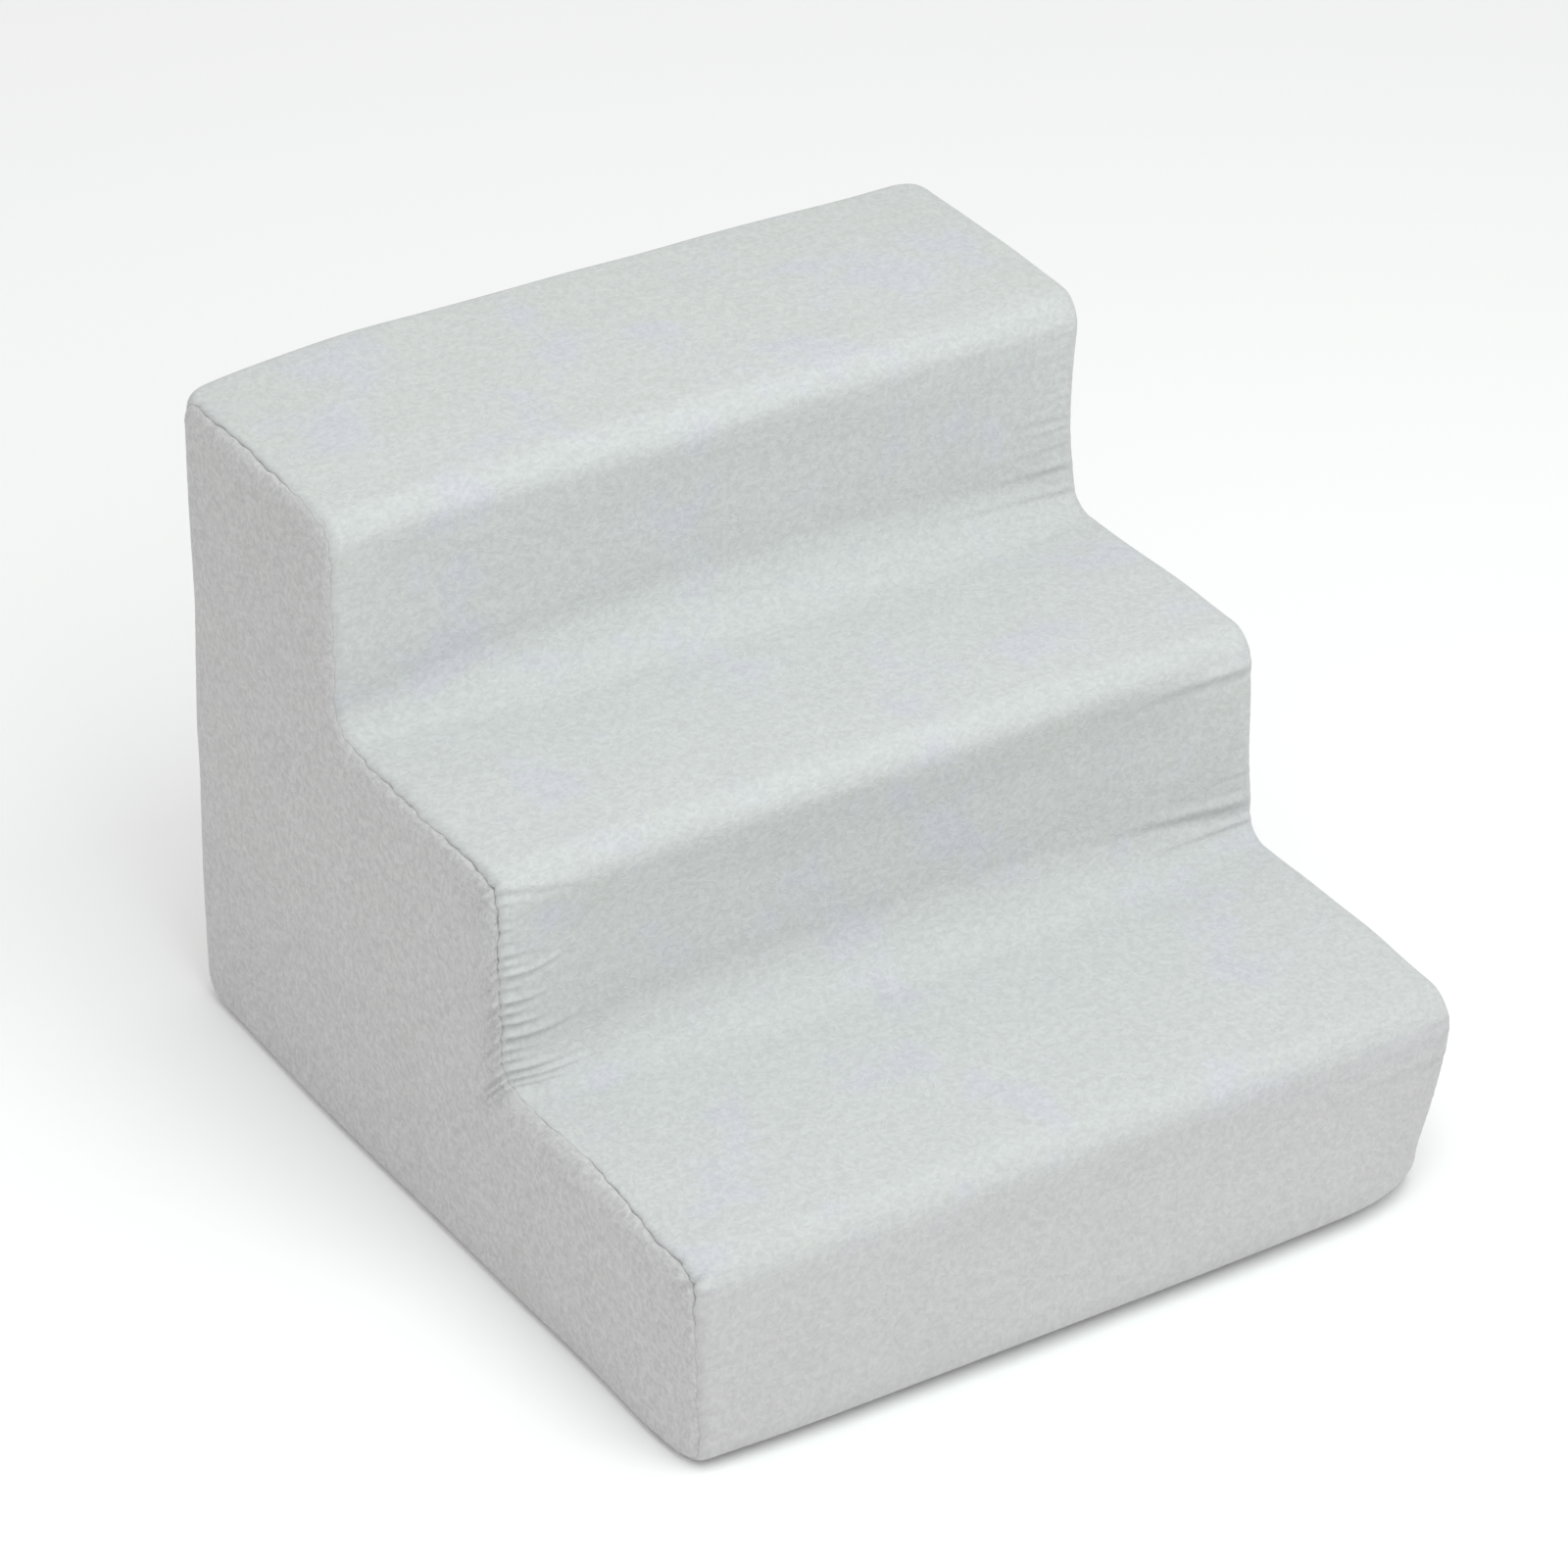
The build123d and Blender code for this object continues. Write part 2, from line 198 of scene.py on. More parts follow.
def form_section(x, t):
    """Points (y, z) and outward directions on the cover's outline at each x.

    Up to t = 13, from 2k to 2k+1 is corner k and then comes its run. After that: 13 the back above
    its seam, 14 the back below it, 15 the rounded bottom edge, 16 the back hem, 17 the base, and -1
    the front hem.
    """
    points, radii = form_corners(x), form_radii(x)
    if 0 <= t <= 13:
        k, part = int(t // 2), t % 2
        if part <= 1:
            return rounded_corner(points, radii, k, part)
        start, facing = rounded_corner(points, radii, k, 1.0)
        end, _ = rounded_corner(points, radii, k + 1, 0.0)
        return between(start, end, part - 1), facing
    upper, facing_back = rounded_corner(points, radii, 6, 1.0)
    lower, _ = rounded_corner(points, radii, 7, 0.0)
    if 13 < t <= 15:
        seam = np.stack([upper[:, 0], np.minimum(BACK_SEAM, upper[:, 1] - LEAST_RUN)], -1)
        place = between(upper, seam, t - 13) if t <= 14 else between(seam, lower, t - 14)
        return place, facing_back
    if 15 < t <= 16:
        return rounded_corner(points, radii, 7, t - 15)
    behind, facing_down = rounded_corner(points, radii, 7, 1.0)
    ahead, _ = rounded_corner(points, radii, 0, 0.0)
    back_edge = np.stack([np.minimum(BASE_BACK, behind[:, 0] - LEAST_RUN), behind[:, 1]], -1)
    front_edge = np.stack([np.maximum(BASE_FRONT, ahead[:, 0] + LEAST_RUN), behind[:, 1]], -1)
    if t < 0:
        return between(front_edge, ahead, t + 1), facing_down
    if t <= 17:
        return between(behind, back_edge, t - 16), facing_down
    return between(back_edge, front_edge, t - 17), facing_down


# Distances along the surface: across, from the middle of a tread over its side edge, and along the
# outline, from the foot.
EDGE_START = HALF - TREAD_EDGE
EDGE_LENGTH = TREAD_EDGE * pi / 2
FLAT_START = EDGE_START + EDGE_LENGTH  # where the flat side face begins


def x_of(across):
    before = np.minimum(np.abs(across), EDGE_START)
    past = np.clip(np.abs(across) - EDGE_START, 0, EDGE_LENGTH)
    return np.sign(across) * (before + TREAD_EDGE * np.sin(past / TREAD_EDGE))


def across_of(x):
    before = min(abs(x), EDGE_START)
    past = np.clip(abs(x) - EDGE_START, 0, TREAD_EDGE)
    return float(np.sign(x) * (before + TREAD_EDGE * np.arcsin(past / TREAD_EDGE)))


TABLE_T = np.round(np.arange(-1.0, 18.001, 0.05), 4)
TABLE_POINTS = np.array([form_section(np.array([0.0]), t)[0][0] for t in TABLE_T])
TABLE_ALONG = np.concatenate([[0], np.cumsum(np.linalg.norm(np.diff(TABLE_POINTS, axis=0), axis=1))])
TABLE_ALONG -= np.interp(0.0, TABLE_T, TABLE_ALONG)


def along_of(t):
    return np.interp(t, TABLE_T, TABLE_ALONG)


FOOT_SUM = FACES[0] + GRIP  # y + z at the foot
LAST_STEP_T = 12.0  # up to here y + z grows along the outline


def place_along(t, x):
    """Distance along the outline at each x, as if its corners were sharp, from the foot."""
    on_steps = min(max(t, 0.0), LAST_STEP_T)
    up_steps = form_section(x, on_steps)[0].sum(-1) - FOOT_SUM
    return up_steps + along_of(t) - along_of(on_steps)


def on_riser(step, height):
    """Distance along the outline of a height above the tread below, for riser 0, 1 or 2."""
    return FACES[step] + RISER * step + height - FOOT_SUM


# Relief of the cloth: how far it stands in front of the filled form


def swell_pattern(x, y, z, seed, waves, length):
    """Soft unevenness: a sum of waves of about that length, in fixed random directions."""
    draw = np.random.default_rng(seed)
    total = 0
    for _ in range(waves):
        heading = unit(draw.normal(size=3))
        pitch = length * draw.uniform(0.7, 1.6)
        phase = draw.uniform(0, 2 * pi)
        run = heading[0] * x + heading[1] * y + heading[2] * z
        total = total + np.sin(2 * pi * run / pitch + phase)
    return total / waves**0.5


LEFT = across_of(-LEFT_SEAM)
RIGHT = across_of(RIGHT_SEAM)


class Folds:
    """Small ridges that start at a seam and fade away from it, each with a furrow below."""

    nearby = 40  # a fold farther than this from a row of points doesn't reach it
    furrow_place, furrow_depth = 1.5, 0.85  # in widths and heights of the ridge
    at_seam, seam_reach = 0.55, 2.5  # the seam holds a fold down to this share, and how far that goes
    edge_fade, edge_before, edge_width = 0.85, 4, 10  # folds fade where the right edge turns back

    def __init__(self):
        self.rows = []

    def add(self, start, along, length, width, height, slope=0.0, bend=0.0):
        self.rows.append((start, along, length, width, height, slope, bend))

    def height(self, across, along):
        total = np.zeros(np.broadcast(across, along).shape)
        lowest, highest = np.min(along), np.max(along)
        for start, place, length, width, height, slope, bend in self.rows:
            if not lowest - self.nearby < place < highest + self.nearby:
                continue
            u = (across - start) * -np.sign(start)
            v = along - place - slope * np.abs(u) - bend * u * u
            reach = np.where(u > 0, length, 0.3 * length + 1.5)  # shorter on the seam's other side
            near = np.exp(-((np.abs(u) / reach) ** 2))
            near = near * (self.at_seam + (1 - self.at_seam) * smooth(np.abs(u) / self.seam_reach))
            ridge = np.exp(-((v / width) ** 2))
            furrow = np.exp(-(((v + self.furrow_place * width) / width) ** 2))
            total += height * near * (ridge - self.furrow_depth * furrow)
        turning = smooth((across - EDGE_START + self.edge_before) / self.edge_width)
        return total * (1 - self.edge_fade * turning)


folds = Folds()

# Gathers in the left seam of the middle riser: the height of each above the tread below, its length,
# width and rise, its slope and its bend
for height, *shape in (
    (91, 6, 1.4, 0.9, -0.3, 0.006), (84, 4, 1.2, 0.7, -0.3, 0.0), (78.5, 5, 1.2, 0.8, -0.3, 0.0),
    (72.5, 5, 1.1, 0.8, -0.3, 0.004), (66.5, 9, 1.3, 1.2, -0.33, 0.008),
    (61.5, 6, 1.1, 1.0, -0.33, 0.008), (57, 23, 1.5, 1.4, -0.36, 0.011),
    (50.5, 7, 1.2, 1.1, -0.34, 0.008), (44, 14, 1.4, 1.6, -0.34, 0.009),
    (38.4, 8, 1.4, 1.5, -0.33, 0.008), (33, 14, 1.4, 1.6, -0.33, 0.008),
    (26.5, 22, 1.5, 1.6, -0.36, 0.010), (20, 9, 1.3, 1.2, -0.3, 0.006), (15, 8, 1.2, 1.0, -0.3, 0.006),
    (9.5, 22, 1.5, 1.4, -0.28, 0.007), (4.5, 30, 1.3, 1.3, -0.25, 0.005), (0.6, 30, 1.4, 1.1, -0.22, 0.004),
):
    folds.add(LEFT, on_riser(1, height), *shape)

# Gathers elsewhere in the seams: the riser, the seam, their number, the longest and the deepest
draw = np.random.default_rng(11)
for step, start, count, longest, deepest in (
    (0, LEFT, 12, 14, 0.45), (2, LEFT, 9, 12, 0.25), (0, RIGHT, 12, 16, 0.5), (1, RIGHT, 14, 18, 0.6),
    (2, RIGHT, 16, 22, 0.6),
):
    for i in range(count):
        height = 6 + 88 * (i + draw.uniform(-0.3, 0.3)) / (count - 1)
        length = longest * draw.uniform(0.3, 1) ** 2 + 3
        width, rise = draw.uniform(1.1, 1.9), deepest * draw.uniform(0.5, 1)
        folds.add(start, on_riser(step, height), length, width, rise, slope=draw.uniform(-0.2, 0.05))

# Puckers where the treads are sewn to the left side: the step, where they start and end, their number
for step, start, end, count in ((0, 16, 130, 15), (1, 16, 115, 15), (2, 50, 128, 9)):
    for i in range(count):
        place = RISER + start + (end - start) * (i + draw.uniform(-0.35, 0.35)) / (count - 1)
        length, width = draw.uniform(3, 9), draw.uniform(1.2, 2.2)
        rise, slope = draw.uniform(0.15, 0.5), draw.uniform(-0.5, 0.3)
        folds.add(LEFT, on_riser(step, place), length, width, rise, slope)

# Long folds that run in from the right end: the riser, then as for the gathers
for step, height, *shape in (
    (1, 17.5, 64, 3.2, 1.6, 0.066, 0.0001), (1, 7.6, 44, 2.3, 1.2, -0.05, 0.0),
    (1, 86, 46, 3.0, 1.9, -0.03, -0.0004), (1, 93, 9, 1.8, 0.8, 0.0, 0.0),
    (1, 3, 30, 2.0, 0.6, -0.02, 0.0), (0, 77, 52, 2.2, 0.9, -0.1, -0.0006),
    (0, 93, 16, 2.2, 0.8, -0.1, 0.0), (2, 22, 36, 2.2, 0.8, 0.0, 0.0), (2, 34, 24, 1.8, 0.6, -0.05, 0.0),
    (2, 47, 28, 2.0, 0.5, 0.02, 0.0), (2, 9, 52, 2.6, 0.8, 0.03, 0.0),
):
    folds.add(RIGHT, on_riser(step, height), *shape)

# Pinched corners of the nosings at the left seam
for step, height, *shape in (
    (1, 104, 12, 2.0, 1.4, 0.25), (1, 109, 9, 1.7, 1.0, 0.5), (1, 98.5, 22, 1.9, 1.5, -0.3),
    (0, 100.5, 9, 1.9, 2.4, 0.5), (0, 94, 8, 2.2, 1.2, -0.35), (0, 110, 6, 1.7, 0.8, 0.5),
    (2, 101, 16, 4.0, 0.5, 0.1),
):
    folds.add(LEFT, on_riser(step, height), *shape)

# Faint pulls across the cloth: the place, tilt, middle, reach, width and height of each

drag_lines = []
draw = np.random.default_rng(23)
for _ in range(26):
    drag_lines.append([draw.uniform(0, 740), draw.normal(0, 0.03), draw.uniform(-150, 150)])
    drag_lines[-1] += [draw.uniform(40, 130), draw.uniform(5, 13), draw.uniform(-0.55, 0.55)]


def drag_height(across, along):
    """Faint pulls across the risers and treads, nearly level and very long."""
    total = 0
    for place, tilt, middle, reach, width, height in drag_lines:
        v = along - place - tilt * across
        near = np.exp(-(((across - middle) / reach) ** 2))
        total = total + height * np.exp(-((v / width) ** 2)) * near
    return total * (1 - smooth((np.abs(across) - 150) / 40))  # none at the ends


def valley(distance, depth=1.3):
    """How deep the cloth rolls down into a seam at that distance from it."""
    fold = depth * np.exp(-((np.abs(distance) / 0.8) ** 1.5))
    return fold + 0.3 * np.exp(-((distance / 4.5) ** 2))


# The left seam, by places on the outline (the numbers of form_section): how tightly it is pulled in,
# and how far it strays inwards
SEAM_PULL = (
    (-1, 0.7), (0.5, 0.35), (1.2, 0.2), (1.8, 0.2), (2.1, 1.0), (3.0, 0.9), (3.6, 0.7), (3.66, 0.15),
    (3.78, 0.15), (3.86, 0.5), (4.0, 0.12), (4.8, 0.3), (5.1, 0.5), (5.55, 0.5), (5.7, 0.85), (6.9, 1.0),
    (7.1, 0.95), (7.28, 0.7), (7.38, 0.25), (7.5, 0.75), (7.95, 0.6), (8.3, 0.15), (9, 0.08), (11.2, 0.08),
    (11.32, 0.85), (11.9, 0.7), (12.3, 0.3), (12.8, 0.5), (14, 0.8),
)
SEAM_STRAY = (
    (2.0, 0), (2.6, 0.3), (3.1, 0.3), (3.2, 0.8), (3.38, 3.0), (3.57, 4.9), (3.8, 3.9), (4.2, 3.0),
    (4.9, 0.5), (5.5, 0), (7.6, 0), (8.2, 1), (9, 0), (10.8, 0), (11.1, 1.0), (11.35, 1.8), (11.6, 2.1),
    (11.85, 1.0), (12.3, 0),
)


def by_place(table):
    """Distances along the left seam, and the values there."""
    at = [float(place_along(t, np.array([-LEFT_SEAM]))[0]) for t, _ in table]
    return np.array(at), np.array([value for _, value in table])


PULLED_AT, PULLED_BY = by_place(SEAM_PULL)
STRAY_AT, STRAY_BY = by_place(SEAM_STRAY)


def left_pull(along):
    """Strength of the left seam at each distance along it."""
    uneven = 1 + 0.22 * np.sin(along / 2.9) + 0.16 * np.sin(along / 1.27 + 2)
    return np.interp(along, PULLED_AT, PULLED_BY) * uneven


RIGHT_PULL = 0.8


def side_seams(across, along):
    """Depth of the two seams along the sides."""
    left = valley(across - LEFT) * left_pull(along)
    return np.maximum(left, RIGHT_PULL * valley(across - RIGHT))


SEAM_SHAKE = 0.24  # how uneven the left seam's line is


def wander(across, along):
    """How far inwards the left seam and the cloth beside it stray at each place."""
    outside = smooth((FLAT_START - np.abs(across)) / (FLAT_START + LEFT))
    inside = np.exp(-(((across - LEFT) / 12) ** 2))
    near = np.where(across < LEFT, outside, inside) * (across < 0)
    shake = np.sin(along / 3.7 + 1) + np.sin(along / 1.8 + 2.2) + 0.9 * np.sin(along / 7.4)
    return near * (SEAM_SHAKE * shake * inside**3 + np.interp(along, STRAY_AT, STRAY_BY))


BACK_SEAM_ALONG = along_of(14.0)
FRONT_EDGE_ALONG = along_of(-1.0)
BACK_EDGE_ALONG = along_of(17.0)


RECESSES = ((0, 2.4, -90), (1, 3.0, -182), (2, 2.1, -182))  # riser, greatest depth and left end
RECESS_RIGHT = 170  # where they end at the right
RECESS_BLEND = 30


def riser_recess(across, along):
    """How far the cloth draws back under the nosings, most at two thirds of each riser."""
    total = 0
    for step, deepest, left_end in RECESSES:
        height = along - on_riser(step, 0)
        upright = smooth((height - 8) / 54) * smooth((97 - height) / 36)
        level = smooth((across - left_end) / RECESS_BLEND) * smooth((RECESS_RIGHT - across) / RECESS_BLEND)
        total = total + deepest * upright * level
    return total


# The cloth's unevenness: how much of it, its seed, its number of waves and their length
SWELLS = ((0.32, 5, 9, 95), (0.15, 6, 9, 34))


def loft_height(x, y, z, across, along):
    """Height of the cloth over the filled form, without its seams."""
    uneven = sum(share * swell_pattern(x, y, z, *waves) for share, *waves in SWELLS)
    quiet = smooth((z - 6) / 12)  # the weight of the stairs flattens the bottom
    back = smooth((y - BACK_Y + 20) / 12) * smooth((120 - z) / 60)  # the zip keeps the back flat
    relief = uneven + folds.height(across, along) + drag_height(across, along)
    relief = relief - riser_recess(across, along)
    return LOFT + quiet * (1 - 0.8 * back) * relief


def form_place(t, across):
    """Points and outward directions of the filled form, for one t and each distance across."""
    x = x_of(across)
    toward = np.where(across < 0, 1.0, -1.0) * 0.05
    place, facing = form_section(x, t)
    inner, _ = form_section(x_of(across + toward), t)
    here = np.stack([x, place[:, 0], place[:, 1]], -1)
    step = here - np.stack([x_of(across + toward), inner[:, 0], inner[:, 1]], -1)
    step = unit(step * -np.sign(toward)[:, None])  # towards +x
    ahead = np.stack([0 * x, facing[:, 1], -facing[:, 0]], -1)  # along the outline
    normal = unit(np.cross(ahead, step))
    flip = np.sign((normal[:, 1:] * facing).sum(-1) + 1e-3 * np.sign(normal[:, 0] * x))
    return here, normal * flip[:, None], facing


# Where the stuffed cover gives way or swells: a place on it, the reach of that, and the move
EASES = (
    ((187, 66, 250), (50, 48, 62), (-4.4, 0, 0)),
    ((187, 66, 236), (30, 26, 24), (-1.6, 0, 0)),
    ((187, 100, 300), (28, 40, 18), (1.0, 0, 0.4)),
    ((187, -62, 106), (28, 38, 20), (2.2, 0, 0)),
    ((187, -125, 96), (30, 50, 30), (1.7, 0, 0)),
    ((187, -205, 76), (30, 26, 24), (1.2, 0, 0)),
    ((187, -188, 18), (36, 30, 19), (-5.2, 0, 0)),
    ((-187, -204, 4), (34, 22, 40), (2.6, 1.4, 0)),
    ((-187, -130, 8), (30, 50, 30), (1.4, 0, 0)),
    ((-187, 90, 6), (30, 85, 34), (-2.0, 0, 0)),
    ((-187, 200, 235), (26, 40, 88), (2.0, 0, 0)),
    ((-187, 207, 302), (20, 22, 20), (1.0, 0, -1.0)),
    ((-187, 205, 60), (26, 40, 50), (-0.9, 0, 0)),
    ((-110, 205, 304), (58, 34, 30), (0, 0, 1.6)),
    ((75, 205, 304), (52, 34, 30), (0, 0, -1.2)),
)


def draw_in(points):
    """The cover gives way or swells here and there, and the foam with it."""
    moved = points.copy()
    for place, reach, move in EASES:
        near = np.exp(-(((points - place) / reach) ** 2).sum(-1))
        moved += near[..., None] * np.array(move)
    return moved


def dressed(ts, across, seams):
    """Points of the dressed surface and their places on the cloth, a row for each t."""
    points, maps = np.zeros(across.shape + (3,)), np.zeros(across.shape + (2,))
    for i, t in enumerate(ts):
        along = place_along(t, x_of(across[i]))
        here, normal, _ = form_place(t, across[i] + wander(across[i], along))
        height = loft_height(here[:, 0], here[:, 1], here[:, 2], across[i], along)
        points[i] = here + normal * (height - seams(across[i], along, along_of(t)))[:, None]
        maps[i] = np.stack([across[i], along], -1)
    return draw_in(points), maps


def spread(start, end, count, bunch=0.0):
    """Places from start to end, closer together near start."""
    u = np.linspace(0, 1, count)
    if bunch:
        u = (np.exp(bunch * u) - 1) / (np.exp(bunch) - 1)
    return start + (end - start) * u


def rows_between(t0, t1, pitch):
    """Row places from t0 up to, not including, t1, about pitch apart on the surface."""
    count = max(1, round(abs(float(along_of(t1) - along_of(t0))) / pitch))
    return list(np.linspace(t0, t1, count + 1)[:-1])


class Panel:
    """Collects the patches of one panel of cloth, with its own map in metres of cloth."""

    def __init__(self):
        self.points, self.maps, self.faces = [], [], []

    def patch(self, points, maps):
        """Adds a grid of points and returns the number of each."""
        start, shape = len(self.points), points.shape[:2]
        self.points.extend(points.reshape(-1, 3))
        self.maps.extend(maps.reshape(-1, 2))
        return np.arange(start, start + shape[0] * shape[1]).reshape(shape)

    def quads(self, index):
        for i in range(index.shape[0] - 1):
            for j in range(index.shape[1] - 1):
                self.faces.append((index[i, j], index[i, j + 1], index[i + 1, j + 1], index[i + 1, j]))

    def thin_out(self, fine, coarse, flip=False):
        """Joins a column with all the rows to the next one, which has every second row."""
        for k in range(len(coarse) - 1):
            face = (fine[2 * k], coarse[k], coarse[k + 1], fine[2 * k + 2], fine[2 * k + 1])
            self.faces.append(face[::-1] if flip else face)

    def sew(self, name, thickness=CLOTH, flip=False):
        """Makes the mesh, closes its doubled points and gives it the cloth's thickness."""
        mesh = bpy.data.meshes.new(name)
        faces = [tuple(int(v) for v in (face[::-1] if flip else face)) for face in self.faces]
        mesh.from_pydata([tuple(MM * v for v in point) for point in self.points], [], faces)
        chart = mesh.uv_layers.new(name="cloth")
        corner = np.zeros(len(mesh.loops), int)
        mesh.loops.foreach_get("vertex_index", corner)
        chart.data.foreach_set("uv", (np.array(self.maps)[corner] * MM).ravel())
        work = bmesh.new()
        work.from_mesh(mesh)
        loose = [v for v in work.verts if not v.link_faces]
        bmesh.ops.delete(work, geom=loose, context="VERTS")
        bmesh.ops.remove_doubles(work, verts=work.verts, dist=0.01 * MM)
        work.to_mesh(mesh)
        work.free()
        piece = bpy.data.objects.new(name, mesh)
        bpy.context.scene.collection.objects.link(piece)
        wall = piece.modifiers.new("wall", "SOLIDIFY")
        wall.thickness, wall.offset = thickness * MM, -1
        apply_all(piece)
        all_smooth(piece)
        return piece


# The strip over the steps

RISER_PITCH, GATHERED_PITCH = 0.95, 0.65  # finer on the riser with the gathers
NOSING_PITCH, TREAD_PITCH, CORNER_PITCH, EDGE_PITCH = 1.3, 2.1, 0.95, 1.6


def odd_rows(rows):
    """Every second row also carries the coarser middle, so the count is odd."""
    return rows if len(rows) % 2 else rows[:1] + [(rows[0] + rows[1]) / 2] + rows[1:]


stair_rows = rows_between(0, 1, EDGE_PITCH)
for step in range(3):
    t = 1 + 4 * step
    stair_rows += rows_between(t, t + 1, GATHERED_PITCH if step == 1 else RISER_PITCH)
    stair_rows += rows_between(t + 1, t + 2, NOSING_PITCH)
    stair_rows += rows_between(t + 2, t + 3, TREAD_PITCH)
    if step < 2:
        stair_rows += rows_between(t + 3, t + 4, CORNER_PITCH)
stair_rows += rows_between(12, 13, EDGE_PITCH) + rows_between(13, 14, 1.5) + [14.0]
strip_rows = odd_rows(rows_between(-1, 0, 2.2) + stair_rows)
SEAM_FADE = 2.2  # over which a cross seam dies away into a side seam


def between_sides(across):
    """From 0 at the side seams to 1 a little way in, where the cross seams are at their full depth."""
    return smooth((across - LEFT) / SEAM_FADE) * smooth((RIGHT - across) / SEAM_FADE)


def strip_seams(across, along, run):
    ends = max(valley(run - BACK_SEAM_ALONG), valley(run - FRONT_EDGE_ALONG))
    return np.maximum(side_seams(across, along), ends * between_sides(across))


def strip_over_steps():
    """The strip of cloth over the treads and risers, with finer rows near its two side seams."""
    left_columns = spread(LEFT, -130, count=27, bunch=2.6)
    right_columns = spread(RIGHT, 130, count=27, bunch=2.2)[::-1]
    middle_columns = np.linspace(-125, 125, 51)
    ts = np.array(strip_rows)
    panel = Panel()
    grids = []
    for rows, columns in ((ts, left_columns), (ts[::2], middle_columns), (ts, right_columns)):
        grids.append(panel.patch(*dressed(rows, np.tile(columns, (len(rows), 1)), strip_seams)))
        panel.quads(grids[-1])
    left, middle, right = grids
    panel.thin_out(left[:, -1], middle[:, 0])
    panel.thin_out(right[:, 0], middle[:, -1], flip=True)
    return panel.sew("cover_steps_cloth")


# The side panels: a rolled edge all round and a flat face, bridged from the steps to the base and back

side_rows = rows_between(0.5, 1, EDGE_PITCH) + [t for t in stair_rows if 1 <= t < 12]
side_rows = odd_rows(side_rows + rows_between(12, 12.5, 0.6) + [12.5])
EDGE_COLUMNS, FACE_COLUMNS, FLAP_COLUMNS = 10, 46, 9
CUSHION, CUSHION_RIM = 1.6, 90.0  # how far the middle of a side face stands out, and over what width


def side_panel(hand):
    """The left (-1) or right (1) panel."""
    seam = -LEFT if hand < 0 else RIGHT
    edge = spread(seam, FLAT_START, EDGE_COLUMNS, bunch=1.2)
    ts = np.array(side_rows)

    def depth(across, along, run):
        if run > BACK_EDGE_ALONG:
            return 0 * across
        return side_seams(across, along)

    panel = Panel()

    def border(rows, columns, seam_depth):
        across = hand * np.tile(columns, (len(rows), 1))
        points, maps = dressed(rows, across, seam_depth)
        for i, t in enumerate(rows):
            here, _, facing = form_place(t, across[i])
            reach = FLAT_START - np.abs(across[i])
            maps[i] = here[:, 1:] + facing * reach[:, None]
        return panel.patch(points, maps)

    steps = border(ts, edge, depth)
    panel.quads(steps)

    # the same height of y + z on the other half, under the base and up the back
    other = [np.linspace(0.5, 0, 12)[:-1], np.linspace(0, -1, 8)[:-1], np.linspace(18, 17, 200)]
    other += [np.linspace(17, 14, 160)[1:], np.linspace(14, 13, 12)[1:], np.linspace(13, 12.5, 8)[1:]]
    other = np.concatenate(other)

    def heights(places):
        return np.array([form_place(t, hand * np.array([FLAT_START]))[0][0, 1:].sum() for t in places])

    key, wanted = heights(other), heights(ts[::2])
    wanted[0], wanted[-1] = key[0], key[-1]
    spot = np.interp(wanted, key, np.arange(len(other), dtype=float))
    low = np.clip(spot.astype(int), 0, len(other) - 2)
    gap = other[low + 1] - other[low]
    jump = np.abs(gap) > 5  # the base's front edge is both -1 and 18
    partner = np.where(jump, other[low + 1], other[low] + gap * (spot - low))

    rest = border(partner, edge, depth)
    panel.quads(rest[::-1])
    flap_rows = np.concatenate([[18.0], partner[(partner < 17.995) & (partner > 17.005)], [17.0]])

    def flap_depth(across, along, run):
        return valley(np.abs(across) - BASE_HALF)

    flap = border(flap_rows, spread(BASE_HALF, seam, FLAP_COLUMNS), flap_depth)
    panel.quads(flap[::-1])

    # the flat face
    start, end = np.array(panel.points)[steps[::2, -1]], np.array(panel.points)[rest[:, -1]]
    share = np.linspace(0, 1, FACE_COLUMNS + 2)[1:-1]
    share = share - 0.12 * np.sin(2 * pi * share)  # closer together near both edges
    form = between(start[:, None, :], end[:, None, :], share[None, :, None])
    form[..., 0] = hand * HALF
    y, z = form[..., 1], form[..., 2]
    reach = np.linalg.norm(form - start[:, None, :], axis=-1)
    across = hand * (FLAT_START + 0.8 * reach)
    along = start[:, 1:].sum(-1)[:, None] - FOOT_SUM + 0 * across
    height = loft_height(form[..., 0], y, z, across, along)
    # a shallow cushion, fullest in the middle of the face
    rim = np.minimum(reach, np.linalg.norm(form - end[:, None, :], axis=-1))
    height = height + CUSHION * smooth(rim / CUSHION_RIM) + side_pulls(y, z)
    form[..., 0] += hand * height
    face = panel.patch(draw_in(form), form[..., 1:])
    whole = np.concatenate([steps[::2, -1:], face, rest[:, -1:]], axis=1)
    panel.quads(whole[:, 1:])
    panel.thin_out(steps[:, -1], whole[:, 1])
    name = "cover_left_cloth" if hand < 0 else "cover_right_cloth"
    return panel.sew(name, flip=hand < 0)


def side_pulls(y, z):
    """Soft upright pulls on a side face, under the edges of the steps."""
    total = 0
    for place, low, high, width, height in (
        (FACES[2] - 4, 205, 285, 7, -0.7), (FACES[1] - 3, 110, 190, 6, -0.5),
        (FACES[2] + 22, 190, 300, 12, 0.4),
    ):
        ridge = height * np.exp(-(((y - place) / width) ** 2))
        total = total + ridge * smooth((z - low) / 25) * smooth((high - z) / 25)
    return total


strip = strip_over_steps()
left_side = side_panel(-1)
right_side = side_panel(1)


# The back panel and the hem under it, with the open window of the zip between them


